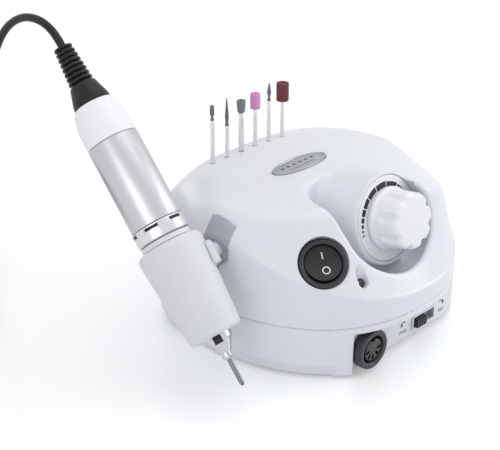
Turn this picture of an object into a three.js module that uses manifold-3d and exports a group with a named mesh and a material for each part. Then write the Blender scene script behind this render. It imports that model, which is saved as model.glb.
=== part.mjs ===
// Electric nail drill: a domed control unit with its handpiece in the side cradle.
// Millimetres, +Z up. The control unit is drawn with x = 0 on its middle, its front toward -Y
// and z = 0 on the table; the finished group is then moved so that its origin is on the table
// under the middle of the rigid pieces.
import * as THREE from 'three';
import { mergeVertices } from 'three/addons/utils/BufferGeometryUtils.js';
import Module from 'manifold-3d';

const wasm = await Module();
wasm.setup();

// Driving dimensions

const seatGap = 0.3;
const runningGap = 0.5;
const overrun = 6;
const flatness = 0.03;

const housing = {
  halfWidth: 72.5,
  frontReach: 82.5,
  backReach: 50,
  frontPower: 2.26,
  backPower: 4,
  wall: 2.5,
  floor: 3,
  underside: 1.2,
  bandInset: 2.3,
  bandTop: 6.5,
  seam: 28,
  wallLean: 1.2,
  sides: 48,
};

const dome = {
  plateauHeight: 79.6,
  plateauSlope: 0.115,
  leftFall: 3,
  rightFall: 7.3,
  frontFall: 7,
  fallGrowth: 4.9,
  creaseHeight: 70,
  creaseSlope: 0.391,
  creaseTilt: 0.077,
  facetSlope: 1.5,
  rightFacetSlope: 4,
  rightFacetStart: 50,
  facetBlend: 6,
  shoulderDrop: 0.6,
  leftShoulderDrop: 10.5,
  leftShoulderFrom: 15,
  leftShoulderTo: 60,
  shoulderBlend: 5,
  grooveDepth: 3.4,
  grooveWidth: 6,
  grooveFrom: [-66, -4],
  grooveTo: [-44, 24],
};

const panel = {
  face: -70.3,
  halfWidth: 39,
  top: 24.2,
  bottom: 2.2,
  thickness: 2,
  backing: 2.5,
};

const socket = {
  x: -28,
  z: 12.6,
  bodyDiameter: 19,
  reach: 7,
  flangeDiameter: 20.4,
  flangeThickness: 1.2,
  mouthDiameter: 15.4,
  mouthDepth: 9,
  throatDiameter: 12.4,
  throatLength: 9,
  pinDiameter: 1.8,
  pinCircleDiameter: 8.2,
  keyWidth: 2.6,
  keyDepth: 1.4,
};

const slideSwitch = {
  x: 18.3,
  z: 9,
  slotLength: 17.6,
  slotHeight: 6.2,
  frameThickness: 1.2,
  frameLip: 1.4,
  bodyDepth: 8,
  leverLength: 7.6,
  leverHeight: 5,
  leverReach: 4.6,
  leverRoot: 4,
  travel: 8,
};

const knob = {
  centre: [6, -53.6, 64.4],
  tiltDegrees: 14,
  bossDiameter: 47.5,
  bossLength: 31,
  plateDiameter: 43,
  plateThickness: 1.4,
  shaftDiameter: 6,
  shaftLength: 15,
  baseDiameter: 31,
  capDiameter: 28.6,
  length: 18,
  rim: 3,
  edge: 2.4,
  fluteCount: 8,
  fluteDiameter: 5.4,
  fluteDepth: 1.7,
  fluteStart: 8.5,
  potDiameter: 24,
  potLength: 9,
  bushDiameter: 7,
};

const scoop = {
  centre: [-1.8, -52, 63.5],
  diameter: 58,
  tip: [-20.9, -33, 110],
  tipDiameter: 24,
};

const rocker = {
  centre: [-45, -57, 60],
  normal: [-0.475, -0.6, 0.643],
  bezelDiameter: 24.6,
  bezelHeight: 2.2,
  bezelEdge: 0.9,
  bodyDiameter: 20,
  bodyLength: 15,
  mouthDiameter: 19.2,
  mouthDepth: 9.4,
  padDiameter: 27,
  padLength: 11,
  buttonDiameter: 18.2,
  buttonDepth: 4.6,
  pivotDepth: 2.6,
  faceDegrees: 10,
  throwDegrees: 20,
};

const led = {
  place: [-31.7, -70.2],
  diameter: 4,
  length: 6.4,
  recessWidth: 5.6,
  recessLength: 9.4,
  recessDepth: 2.2,
};

const badge = {
  place: [-2.1, -1],
  length: 37.6,
  width: 16,
  thickness: 1.4,
  rim: 1,
  rimDepth: 0.5,
  recess: 0.8,
};

const cradlePocketDepth = 8;
const knuckleEndInset = 1.9;
const handpieceBeside = 22.5;

const cradle = {
  y: -11.3,
  z: 60,
  knuckleDiameter: 13.6,
  knuckleEdge: 1.6,
  floorX: cradlePocketDepth - housing.halfWidth,
  knuckleEnd: knuckleEndInset - housing.halfWidth,
  collarDiameter: 12,
  stubDiameter: 8,
  stubLength: 3,
  clipWall: 2.3,
  clipHeight: 13,
  clipDegrees: 110,
};

// The pocket for the cradle, open at its top, as shares of its width and height.
const notchOutlineShares = [
  [-0.5, 0.7], [-0.5, -0.084], [-0.14, -0.174], [-0.14, -0.3], [0.5, -0.3], [0.5, 0.7],
];
const notch = {
  width: 15,
  height: 50,
};

const rack = {
  x: 1,
  y: 39.3,
  pitch: 10.5,
  holeDiameter: 2.95,
  holeDepth: 10.5,
  blockWidth: 8,
  blockBelow: 3,
};

const bit = {
  shankDiameter: 2.35,
  seatDepth: 10,
};

const foot = {
  x: 46,
  frontY: -46,
  backY: 28,
  diameter: 14,
  height: 2.4,
  pocketDepth: 1.5,
};

const column = {
  x: 58,
  frontY: -24,
  backY: 22,
  diameter: 9,
  headDiameter: 5.6,
  headHeight: 2.2,
  shankDiameter: 3,
  seat: 14,
  screwLength: 24,
};

const transformer = {
  centre: [27, 6],
  width: 48,
  stack: 26,
  height: 40,
  leg: 8,
  coilReach: 8,
};

const board = {
  centre: [-24, 6],
  width: 52,
  length: 44,
  thickness: 1.6,
  height: 12,
  postDiameter: 5,
  postInset: 4,
};

const capacitor = { centre: [-34, 12], diameter: 13, length: 22 };
const heatSink = { centre: [-10, 4], width: 20, depth: 12, height: 18, fin: 1.8 };

const gland = {
  x: 34,
  z: 15,
  flangeDiameter: 14,
  flangeThickness: 3,
  neckDiameter: 10,
  neckLength: 9,
  bore: 6,
};

// The handpiece is drawn along its own +Z, from the tip of the fitted bit at 0 to the cord end.
const handpiece = {
  tip: [-housing.halfWidth - handpieceBeside, -52, 15.3],
  leanDegrees: 42.2,
  sides: 24,
  noseTip: 15,
  flatDegrees: -39,
  gripBottom: 24.5,
  gripTop: 72.1,
  ringBottom: 75.2,
  barrelBottom: 83,
  barrelTop: 127.5,
  capTop: 147.2,
  reliefTop: 178.6,
  gripBottomDiameter: 26.6,
  gripTopDiameter: 33.4,
  gripBore: 20.6,
  gripEdge: 2,
  ringDiameter: 26.2,
  barrelDiameter: 25.5,
  barrelWall: 1.3,
  capTopDiameter: 20.7,
  capWall: 2,
  capBore: 11,
  noseDiameter: 14.5,
  noseTipDiameter: 6.4,
  noseBore: 5.6,
  housingDiameter: 20,
  housingBore: 16.4,
};

const spindle = {
  colletTip: 11.6,
  colletDiameter: 4.8,
  colletLength: 20,
  shaftDiameter: 6,
  shaftTop: 88,
  motorShaftDiameter: 3,
  bearingDiameter: 16,
  bearingWidth: 5,
  frontBearing: 30,
  rearBearing: 68,
  motorDiameter: 22,
  motorBottom: 90,
  motorTop: 118,
  bitLength: 30,
  bitReach: 2.3,
};

const relief = {
  coneBottomDiameter: 18.8,
  coneTopDiameter: 13,
  coneLength: 10.6,
  spigotLength: 7,
  ribCount: 8,
  ribDiameter: 12.2,
  lastRibDiameter: 9.2,
  coreDiameter: 8,
};

const cord = {
  diameter: 4,
  tubeSides: 8,
  tubeSteps: 42,
  coilTurnsIn: 3,
  coilTurnsOut: 3.25,
  coilStepsPerTurn: 20,
  coilSides: 6,
  coilPitch: 4.7,
  coilLayerRise: 4.6,
  coilMeanDiameter: 46,
  coilCentre: [-131.5, 163],
  plugSwing: 4.5,
};

// The cord from the strain relief over its arch and down to the table, at the unit's own places.
const cordRoute = [
  [-95, 68.1, 147.8], [-95, 70.8, 150.7], [-95, 74, 153.3], [-95, 78, 155.4], [-95, 83.2, 156.9],
  [-95, 89.5, 157.2], [-95, 96.5, 156.2], [-95, 104, 153.4], [-95, 111.5, 148.8], [-95, 118.5, 142.2],
  [-95, 124.8, 133.6], [-95, 130.2, 123], [-95, 134.6, 110.6], [-95, 138, 97], [-95, 140.8, 82],
  [-95, 143.2, 66.4], [-95, 145.6, 51], [-95, 148.2, 37.4], [-95, 151.6, 25.8], [-95, 156.2, 16.2],
  [-95, 162, 8.8], [-95, 168.8, 4.3], [-95, 175, 2.4], [-96.2, 181.4, 2.15], [-99.6, 187.2, 2.15],
  [-105, 191.4, 2.15],
];

const plug = {
  shellDiameter: 15.6,
  shellLength: 32,
  tailDiameter: 8,
  tailLength: 12,
  sleeveDiameter: 13.2,
  sleeveLength: 11,
  wall: 1.4,
};

// Finishes

function finish(color, roughness, metalness = 0) {
  return { color, roughness, metalness };
}

const finishes = {
  shell: finish(0xe4e6ef, 0.35),
  knobWhite: finish(0xeceef2, 0.4),
  blackPlastic: finish(0x17171a, 0.42),
  softBlack: finish(0x1c1c1e, 0.6),
  knuckleGrey: finish(0x6e727b, 0.5),
  badgeSilver: finish(0xa8aab0, 0.35, 0.6),
  ledRed: finish(0x5a0c10, 0.2),
  steel: finish(0xc4c6ca, 0.25, 1),
  brushedBarrel: finish(0xc2c3c6, 0.32, 0.9),
  milkySleeve: finish(0xe9ebec, 0.35),
  whiteCap: finish(0xeeeff2, 0.35),
  iron: finish(0x55585c, 0.5, 0.8),
  copper: finish(0xa65a2e, 0.4, 0.7),
  boardGreen: finish(0x1f6a3c, 0.5),
  sleeveBlue: finish(0x27335a, 0.4),
  aluminium: finish(0xb4b7ba, 0.4, 0.9),
  greyStone: finish(0x78848a, 0.9),
  pinkStone: finish(0xde96cd, 0.9),
  brownBand: finish(0x6e3c41, 0.95),
  rubber: finish(0x2a2a2c, 0.85),
  tin: finish(0x8f9499, 0.45, 0.8),
};

// Solids

const weldDistance = 1e-4;

// A closed geometry as a solid with its faces pointing out.
function solid(geometry) {
  const plain = geometry.clone();
  plain.deleteAttribute('normal');
  plain.deleteAttribute('uv');
  const welded = mergeVertices(plain, weldDistance);
  const places = welded.getAttribute('position').array;
  const index = welded.index.array;
  const triangles = [];
  let volume = 0;
  const a = new THREE.Vector3();
  const b = new THREE.Vector3();
  const c = new THREE.Vector3();
  for (let i = 0; i < index.length; i += 3) {
    const [p, q, r] = [index[i], index[i + 1], index[i + 2]];
    if (p === q || q === r || r === p) continue;
    triangles.push([p, q, r]);
    a.fromArray(places, 3 * p);
    b.fromArray(places, 3 * q);
    c.fromArray(places, 3 * r);
    volume += a.dot(b.cross(c));
  }
  const outward = volume < 0 ? triangles.map(([p, q, r]) => [p, r, q]) : triangles;
  return new wasm.Manifold(new wasm.Mesh({
    numProp: 3,
    vertProperties: Float32Array.from(places),
    triVerts: Uint32Array.from(outward.flat()),
  }));
}

// A solid as a geometry with flat faces.
function geometryOf(body) {
  const { vertProperties, triVerts } = body.getMesh();
  const geometry = new THREE.BufferGeometry();
  geometry.setAttribute('position', new THREE.BufferAttribute(vertProperties, 3));
  geometry.setIndex(new THREE.BufferAttribute(triVerts, 1));
  const flat = geometry.toNonIndexed();
  flat.computeVertexNormals();
  return flat;
}

// One named piece with its own material.
function piece(name, body, look) {
  const mesh = new THREE.Mesh(geometryOf(body), new THREE.MeshStandardMaterial(look));
  mesh.name = name;
  return mesh;
}

function group(...members) {
  const holder = new THREE.Group();
  holder.add(...members);
  return holder;
}

// A block between two corners.
function block([x0, x1], [y0, y1], [z0, z1]) {
  const box = new THREE.BoxGeometry(x1 - x0, y1 - y0, z1 - z0);
  return solid(box.translate((x0 + x1) / 2, (y0 + y1) / 2, (z0 + z1) / 2));
}

// A profile of [radius, height] points turned about +Z.
function turned(profile, sides = 24) {
  const points = profile.map(([radius, height]) => new THREE.Vector2(radius, height));
  return solid(new THREE.LatheGeometry(points, sides).rotateX(Math.PI / 2));
}

// A round rod along +Z, given by its diameter.
function rod(diameter, from, to, sides = 24) {
  return turned([[0, from], [diameter / 2, from], [diameter / 2, to], [0, to]], sides);
}

// A round rod with bevelled rims.
function bevelledRod(diameter, from, to, bevel, sides = 24) {
  const radius = diameter / 2;
  return turned([
    [0, from], [radius - bevel, from], [radius, from + bevel],
    [radius, to - bevel], [radius - bevel, to], [0, to],
  ], sides);
}

// A plain ring along +Z.
function ring(outer, inner, from, to, sides = 24) {
  return turned([
    [inner / 2, from], [outer / 2, from], [outer / 2, to], [inner / 2, to], [inner / 2, from],
  ], sides);
}

// An outline of [x, y] points pushed along +Z.
function extruded(outline, from, to) {
  const shape = new THREE.Shape(outline.map(([x, y]) => new THREE.Vector2(x, y)));
  const geometry = new THREE.ExtrudeGeometry(shape, { depth: to - from, bevelEnabled: false });
  return solid(geometry.translate(0, 0, from));
}

// Rings with the same count of points, joined from the first to the last and closed by a fan
// at each end.
function lofted(rings) {
  const count = rings[0].length;
  const places = rings.flat(2);
  const index = [];
  for (let r = 0; r + 1 < rings.length; r += 1) {
    for (let i = 0; i < count; i += 1) {
      const j = (i + 1) % count;
      const [a, b] = [r * count + i, r * count + j];
      const [c, d] = [a + count, b + count];
      index.push(a, b, d, a, d, c);
    }
  }
  for (const last of [0, rings.length - 1]) {
    const centre = places.length / 3;
    const ringPoints = rings[last];
    for (let axis = 0; axis < 3; axis += 1) {
      places.push(ringPoints.reduce((sum, point) => sum + point[axis], 0) / count);
    }
    for (let i = 0; i < count; i += 1) {
      const [a, b] = [last * count + i, last * count + ((i + 1) % count)];
      if (last === 0) index.push(centre, b, a);
      else index.push(centre, a, b);
    }
  }
  const geometry = new THREE.BufferGeometry();
  geometry.setAttribute('position', new THREE.Float32BufferAttribute(places, 3));
  geometry.setIndex(index);
  return solid(geometry);
}

// A frame at a place, its +Z along the normal and its +X level.
function frameOn(place, normal) {
  const z = new THREE.Vector3(...normal).normalize();
  const x = new THREE.Vector3(0, 0, 1).cross(z).normalize();
  const y = z.clone().cross(x);
  return new THREE.Matrix4().makeBasis(x, y, z).setPosition(...place);
}

function moved(body, frame) {
  return body.transform(frame.elements);
}

function framedGroup(frame, ...members) {
  const holder = group(...members);
  holder.applyMatrix4(frame);
  return holder;
}

// The housing's outline and dome

// How far a point lies out, as a share of the outline drawn in by an inset, and how fast that grows.
function outlineShare(x, y, inset) {
  const reach = y < 0 ? housing.frontReach : housing.backReach;
  const power = y < 0 ? housing.frontPower : housing.backPower;
  const [halfWidth, halfDepth] = [housing.halfWidth - inset, reach - inset];
  const u = Math.abs(x) / halfWidth;
  const v = Math.abs(y) / halfDepth;
  const share = (u ** power + v ** power) ** (1 / power);
  const growth = Math.hypot(u ** (power - 1) / halfWidth, v ** (power - 1) / halfDepth);
  return { share, growth: growth * share ** (1 - power) };
}

// The outline as a ring of points at one height, or at a height found for each point.
function outlineRing(inset, heightAt, share = 1, sides = housing.sides) {
  return Array.from({ length: sides }, (_, i) => {
    const angle = (2 * Math.PI * i) / sides;
    const [cos, sin] = [Math.cos(angle), Math.sin(angle)];
    const scale = share / outlineShare(cos, sin, inset).share;
    const [x, y] = [cos * scale, sin * scale];
    return [x, y, heightAt(x, y)];
  });
}

// The lower of two heights, rounded where they meet.
function blendedLower(first, second, blend) {
  const near = Math.max(blend - Math.abs(first - second), 0) / blend;
  return Math.min(first, second) - (near * near * blend) / 4;
}

function easedStep(from, to, value) {
  const share = Math.min(Math.max((value - from) / (to - from), 0), 1);
  return share * share * (3 - 2 * share);
}

// The height of the flat top: it rises slowly to the front and falls off to both sides.
function plateauAt(x, y) {
  const side = x / housing.halfWidth;
  const front = Math.max(-y, 0) / housing.frontReach;
  const fall = (x < 0 ? dome.leftFall : dome.rightFall) * (1 + dome.fallGrowth * front);
  return dome.plateauHeight - dome.plateauSlope * y - dome.frontFall * front * front
    - fall * side * side;
}

// The height of the crease between the wall and the dome, at a point of the outline.
function creaseAt(x, y) {
  const crease = dome.creaseHeight + dome.creaseSlope * y - dome.creaseTilt * x;
  const left = easedStep(dome.leftShoulderFrom, dome.leftShoulderTo, -x);
  const drop = dome.shoulderDrop + (dome.leftShoulderDrop - dome.shoulderDrop) * left;
  return blendedLower(crease, plateauAt(x, y) - drop, dome.shoulderBlend);
}

// The soft groove that leads over the left shoulder down to the cradle.
function grooveAt(x, y) {
  const [x0, y0] = dome.grooveFrom;
  const [x1, y1] = dome.grooveTo;
  const length = Math.hypot(x1 - x0, y1 - y0);
  const along = ((x - x0) * (x1 - x0) + (y - y0) * (y1 - y0)) / length;
  const beside = ((x - x0) * (y1 - y0) - (y - y0) * (x1 - x0)) / length;
  const past = Math.max(-along, along - length, 0);
  const far = Math.hypot(beside, past) / dome.grooveWidth;
  return dome.grooveDepth * Math.exp(-far * far);
}

// The dome's outer surface, over any point inside the crease.
function domeHeight(x, y) {
  const { share, growth } = outlineShare(x, y, housing.wallLean);
  if (share === 0) return plateauAt(x, y);
  const inward = Math.max(1 - share, 0) / growth;
  const right = easedStep(0, dome.rightFacetStart, x / share);
  const slope = dome.facetSlope + (dome.rightFacetSlope - dome.facetSlope) * right;
  const facet = creaseAt(x / share, y / share) + slope * inward;
  return blendedLower(plateauAt(x, y), facet, dome.facetBlend) - grooveAt(x, y);
}

const domeRingShares = [1, 0.975, 0.945, 0.91, 0.86, 0.79, 0.7, 0.58, 0.42, 0.22];

// The upper shell's outer form, or with an inset its cavity.
function domeBody(inset, bottom, ringShares, sides) {
  const lean = housing.wallLean + inset;
  const lowered = (x, y) => {
    const out = 1 + inset / Math.max(Math.hypot(x, y), inset);
    return Math.min(domeHeight(x, y), domeHeight(x * out, y * out)) - inset;
  };
  const crease = (x, y) => creaseAt(x, y) - inset;
  const rings = [outlineRing(inset, () => bottom, 1, sides)];
  rings.push(outlineRing(lean, crease, 1, sides));
  for (const share of ringShares.slice(1)) rings.push(outlineRing(lean, lowered, share, sides));
  return lofted(rings);
}

// A normal of the dome at a point, from its slopes.
function domeNormal(x, y) {
  const step = housing.wall;
  const slopeX = (domeHeight(x + step, y) - domeHeight(x - step, y)) / (2 * step);
  const slopeY = (domeHeight(x, y + step) - domeHeight(x, y - step)) / (2 * step);
  return [-slopeX, -slopeY, 1];
}

// Frames of the pieces on the dome

const knobTilt = THREE.MathUtils.degToRad(knob.tiltDegrees);
const knobNormal = [0, -Math.cos(knobTilt), Math.sin(knobTilt)];
const knobFrame = frameOn(knob.centre, knobNormal);
const rockerFrame = frameOn(rocker.centre, rocker.normal);
const ledFrame = frameOn(
  [...led.place, domeHeight(...led.place)],
  domeNormal(...led.place),
);
const badgeFrame = frameOn(
  [...badge.place, domeHeight(...badge.place) - badge.recess],
  domeNormal(...badge.place),
);

const handpieceLean = THREE.MathUtils.degToRad(handpiece.leanDegrees);
const handpieceFrame = new THREE.Matrix4()
  .makeRotationX(-handpieceLean)
  .setPosition(...handpiece.tip);

// The grip's outer radius at a place along the handpiece.
function gripRadius(along) {
  const share = (along - handpiece.gripBottom) / (handpiece.gripTop - handpiece.gripBottom);
  const { gripBottomDiameter, gripTopDiameter } = handpiece;
  return (gripBottomDiameter + (gripTopDiameter - gripBottomDiameter) * share) / 2;
}

// Base shell

const seamLower = housing.seam - seatGap / 2;
const seamUpper = housing.seam + seatGap / 2;
const panelBack = panel.face + panel.thickness + seatGap;
const backingBack = panelBack + panel.backing;
const screwPlaces = [
  ['front_left', -column.x, column.frontY],
  ['front_right', column.x, column.frontY],
  ['back_left', -column.x, column.backY],
  ['back_right', column.x, column.backY],
];
const footPlaces = [
  ['front_left', -foot.x, foot.frontY],
  ['front_right', foot.x, foot.frontY],
  ['back_left', -foot.x, foot.backY],
  ['back_right', foot.x, foot.backY],
];
const boardPosts = [-1, 1].flatMap((sideX) => [-1, 1].map((sideY) => [
  board.centre[0] + sideX * (board.width / 2 - board.postInset),
  board.centre[1] + sideY * (board.length / 2 - board.postInset),
]));
const floorTop = housing.underside + housing.floor;
const socketBack = socket.throatDiameter + 2 * housing.wall;
const screwTop = column.seat + column.screwLength;

// How far back the wall's outer face lies where the gland's flange meets it first.
const glandShare = (gland.x - gland.flangeDiameter / 2) / housing.halfWidth;
const glandWall = housing.backReach * (1 - glandShare ** housing.backPower) ** (1 / housing.backPower);
const glandFrame = frameOn([gland.x, glandWall, gland.z], [0, 1, 0]);

function baseShell() {
  const flat = (height) => () => height;
  const edge = housing.wall / 4;
  const outer = lofted([
    outlineRing(housing.bandInset + edge, flat(housing.underside)),
    outlineRing(housing.bandInset, flat(housing.underside + edge)),
    outlineRing(housing.bandInset, flat(housing.bandTop - edge)),
    outlineRing(edge, flat(housing.bandTop)),
    outlineRing(0, flat(housing.bandTop + 2 * edge)),
    outlineRing(0, flat(seamLower)),
  ]);
  const pocketSide = panel.halfWidth + housing.wall;
  const pocketWalls = block(
    [-pocketSide, pocketSide],
    [-housing.frontReach - overrun, backingBack],
    [housing.underside, housing.seam],
  );
  const cavity = lofted([
    outlineRing(housing.wall + housing.bandInset, flat(floorTop)),
    outlineRing(housing.wall + housing.bandInset, flat(housing.bandTop)),
    outlineRing(housing.wall, flat(housing.bandTop + housing.wall)),
    outlineRing(housing.wall, flat(housing.seam + overrun)),
  ]).subtract(pocketWalls);
  let body = outer.subtract(cavity);
  for (const [, x, y] of screwPlaces) {
    body = body.add(rod(column.diameter, housing.underside, seamLower, 12).translate(x, y, 0));
  }
  for (const [x, y] of boardPosts) {
    const top = board.height - seatGap;
    body = body.add(rod(board.postDiameter, housing.underside, top, 12).translate(x, y, 0));
  }
  const pocket = block(
    [-panel.halfWidth, panel.halfWidth],
    [-housing.frontReach - overrun, panelBack],
    [-overrun, panel.top],
  );
  const socketHole = rod(socketBack + 2 * seatGap, -2 * overrun, overrun, 20);
  const switchHole = extruded(
    rectangle(slideSwitch.slotLength + 2 * seatGap, slideSwitch.slotHeight + 2 * seatGap),
    -2 * overrun,
    overrun,
  );
  body = body.subtract(pocket)
    .subtract(onPanel(socketHole, socket.x, socket.z))
    .subtract(onPanel(switchHole, slideSwitch.x, slideSwitch.z));
  for (const [, x, y] of screwPlaces) {
    const headRoom = rod(column.headDiameter + 2 * runningGap, -overrun, column.seat, 12);
    const shankRoom = rod(column.shankDiameter + 2 * seatGap, -overrun, housing.seam + overrun, 12);
    body = body.subtract(headRoom.translate(x, y, 0)).subtract(shankRoom.translate(x, y, 0));
  }
  for (const [, x, y] of footPlaces) {
    const pocketTop = housing.underside + foot.pocketDepth;
    body = body.subtract(rod(foot.diameter + 2 * seatGap, -overrun, pocketTop, 16).translate(x, y, 0));
  }
  const glandHole = rod(gland.neckDiameter + 2 * seatGap, -overrun, housing.wall + overrun, 20)
    .rotate([90, 0, 0])
    .translate([gland.x, glandWall, gland.z]);
  return body.subtract(glandHole).simplify(flatness);
}

// Upper shell

const bitXs = Array.from({ length: 6 }, (_, i) => rack.x + (i - 2.5) * rack.pitch);
const rackTop = domeHeight(rack.x, rack.y);

// The hollow around the knob: a ball drawn out to a small tip, or with a wall its backing.
function scoopBody(wall = 0) {
  const centre = new THREE.Vector3(...scoop.centre);
  const toTip = new THREE.Vector3(...scoop.tip).sub(centre);
  const length = toTip.length();
  const [large, small] = [scoop.diameter / 2 + wall, scoop.tipDiameter / 2 + wall];
  const meet = Math.asin((large - small) / length);
  const arcPoints = (radius, height, from, to, count) => Array.from(
    { length: count + 1 },
    (_, i) => {
      const angle = from + ((to - from) * i) / count;
      return [radius * Math.cos(angle), height + radius * Math.sin(angle)];
    },
  );
  const profile = [
    ...arcPoints(large, 0, -Math.PI / 2, meet, 9),
    ...arcPoints(small, length, meet, Math.PI / 2, 2),
  ];
  profile[0][0] = 0;
  profile[profile.length - 1][0] = 0;
  return moved(turned(profile, 24), frameOn(scoop.centre, toTip.toArray()));
}

const notchBottomShare = Math.min(...notchOutlineShares.map(([, shareZ]) => shareZ));

function upperShell() {
  const outer = domeBody(0, seamUpper, domeRingShares, housing.sides);
  const cavityShares = domeRingShares.filter((_, i) => i % 2 === 0);
  const cavity = domeBody(housing.wall, seamUpper - overrun, cavityShares, housing.sides / 2);
  const boss = moved(rod(knob.bossDiameter, -knob.bossLength, 0, 32), knobFrame);
  const rockerPad = moved(
    rod(rocker.padDiameter, -rocker.padLength, -rocker.bezelHeight, 28),
    rockerFrame,
  );
  const kept = outer.subtract(scoopBody()).add(boss);

  const bossHollow = moved(
    rod(knob.bossDiameter - 2 * housing.wall, -knob.bossLength - overrun, -3 * housing.wall, 24),
    knobFrame,
  );
  const rackBlock = block(
    [bitXs[0] - rack.blockWidth / 2, bitXs[5] + rack.blockWidth / 2],
    [rack.y - rack.blockWidth / 2, rack.y + rack.blockWidth / 2],
    [rackTop - rack.holeDepth - rack.blockBelow, rackTop],
  );
  const notchWalls = block(
    [-housing.halfWidth, cradle.floorX + housing.wall],
    [cradle.y - notch.width / 2 - housing.wall, cradle.y + notch.width / 2 + housing.wall],
    [cradle.z + notchBottomShare * notch.height - housing.wall, cradle.z + notch.height],
  );
  const ledPad = moved(
    rod(led.recessLength + 2 * housing.wall, -2 * housing.wall - led.recessDepth, 0, 20),
    ledFrame,
  );
  const scoopBacking = scoopBody(housing.wall);
  let filled = rackBlock.add(notchWalls).add(ledPad).add(rockerPad).add(scoopBacking).add(boss);
  for (const [, x, y] of screwPlaces) {
    filled = filled.add(rod(column.diameter, seamUpper, dome.plateauHeight, 12).translate(x, y, 0));
  }
  const rooms = cavity.subtract(filled).decompose();
  const room = rooms.reduce((best, one) => (one.volume() > best.volume() ? one : best));
  let body = kept.subtract(room);
  body = body.subtract(bossHollow);

  const plateSeat = moved(
    rod(knob.plateDiameter + 2 * seatGap, -knob.plateThickness - seatGap, overrun, 32),
    knobFrame,
  );
  const bushHole = moved(
    rod(knob.bushDiameter + 2 * seatGap, -knob.bossLength - overrun, overrun, 20),
    knobFrame,
  );
  const rockerSeat = moved(
    rod(rocker.bezelDiameter + 2 * seatGap, -rocker.bezelHeight, housing.halfWidth, 32),
    rockerFrame,
  );
  const rockerHole = moved(
    rod(rocker.bodyDiameter + 2 * seatGap, -rocker.padLength - 3 * overrun, 0, 28),
    rockerFrame,
  );
  body = body.subtract(plateSeat).subtract(bushHole).subtract(rockerSeat).subtract(rockerHole);

  const notchOutline = notchOutlineShares.map(([shareY, shareZ]) => [
    cradle.y + shareY * notch.width,
    cradle.z + shareZ * notch.height,
  ]);
  const notchCut = extruded(notchOutline, -housing.halfWidth - overrun, cradle.floorX);
  body = body.subtract(moved(notchCut, new THREE.Matrix4().makeBasis(
    new THREE.Vector3(0, 1, 0),
    new THREE.Vector3(0, 0, 1),
    new THREE.Vector3(1, 0, 0),
  )));

  const ledRecess = ledOutline(led.recessWidth, led.recessLength);
  const ledHole = rod(led.diameter + 2 * seatGap, -led.length - overrun, 0, 16);
  body = body.subtract(moved(extruded(ledRecess, -led.recessDepth, overrun), ledFrame));
  body = body.subtract(moved(ledHole, ledFrame));

  const badgeRecess = ovalOutline(badge.length + 2 * seatGap, badge.width + 2 * seatGap);
  body = body.subtract(moved(extruded(badgeRecess, -seatGap, overrun), badgeFrame));

  for (const x of bitXs) {
    const hole = rod(rack.holeDiameter, rackTop - rack.holeDepth, rackTop + overrun, 12);
    body = body.subtract(hole.translate(x, rack.y, 0));
  }
  for (const [, x, y] of screwPlaces) {
    const pilot = rod(column.shankDiameter + 2 * seatGap, -overrun, screwTop + runningGap, 12);
    body = body.subtract(pilot.translate(x, y, 0));
  }
  return body.simplify(flatness);
}

// A rounded recess that narrows toward its upper end.
function ledOutline(width, length) {
  const half = width / 2;
  const lower = Array.from({ length: 9 }, (_, i) => {
    const angle = Math.PI + (Math.PI * i) / 8;
    return [half * Math.cos(angle), half * Math.sin(angle)];
  });
  const tip = length - half;
  return [...lower, [half / 2, tip - half / 2], [0, tip], [-half / 2, tip - half / 2]];
}

function ovalOutline(length, width, count = 32) {
  return Array.from({ length: count }, (_, i) => {
    const angle = (2 * Math.PI * i) / count;
    return [(length / 2) * Math.cos(angle), (width / 2) * Math.sin(angle)];
  });
}

// Front panel, DIN socket and slide switch

const toFront = new THREE.Matrix4().makeRotationX(Math.PI / 2);

// A body drawn with +Z out of the front, set into the panel at a place.
function onPanel(body, x, z) {
  return moved(body, toFront.clone().setPosition(x, panel.face, z));
}

function frontPanel() {
  const side = panel.halfWidth - seatGap;
  const plate = block(
    [-side, side],
    [panel.face, panel.face + panel.thickness],
    [panel.bottom, panel.top - seatGap],
  );
  const socketHole = rod(socket.bodyDiameter + 2 * seatGap, -overrun, overrun);
  const slot = rectangle(slideSwitch.slotLength + 2 * seatGap, slideSwitch.slotHeight + 2 * seatGap);
  return plate
    .subtract(onPanel(socketHole, socket.x, socket.z))
    .subtract(onPanel(extruded(slot, -overrun, overrun), slideSwitch.x, slideSwitch.z));
}

function rectangle(length, height) {
  return [
    [-length / 2, -height / 2], [length / 2, -height / 2],
    [length / 2, height / 2], [-length / 2, height / 2],
  ];
}

// The round black housing with its flange against the panel.
function socketHousing() {
  const { bodyDiameter, flangeDiameter, mouthDiameter, throatDiameter } = socket;
  const flangeBottom = seatGap;
  const flangeTop = seatGap + socket.flangeThickness;
  const back = -panel.thickness - panel.backing - seatGap;
  return turned([
    [throatDiameter / 2, back],
    [socketBack / 2, back],
    [socketBack / 2, flangeBottom],
    [flangeDiameter / 2, flangeBottom],
    [flangeDiameter / 2, flangeTop],
    [bodyDiameter / 2, flangeTop],
    [bodyDiameter / 2 - seatGap, socket.reach],
    [mouthDiameter / 2, socket.reach],
    [mouthDiameter / 2 - seatGap, socket.reach - socket.mouthDepth],
    [throatDiameter / 2, socket.reach - socket.mouthDepth],
    [throatDiameter / 2, back],
  ], 20);
}

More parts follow.
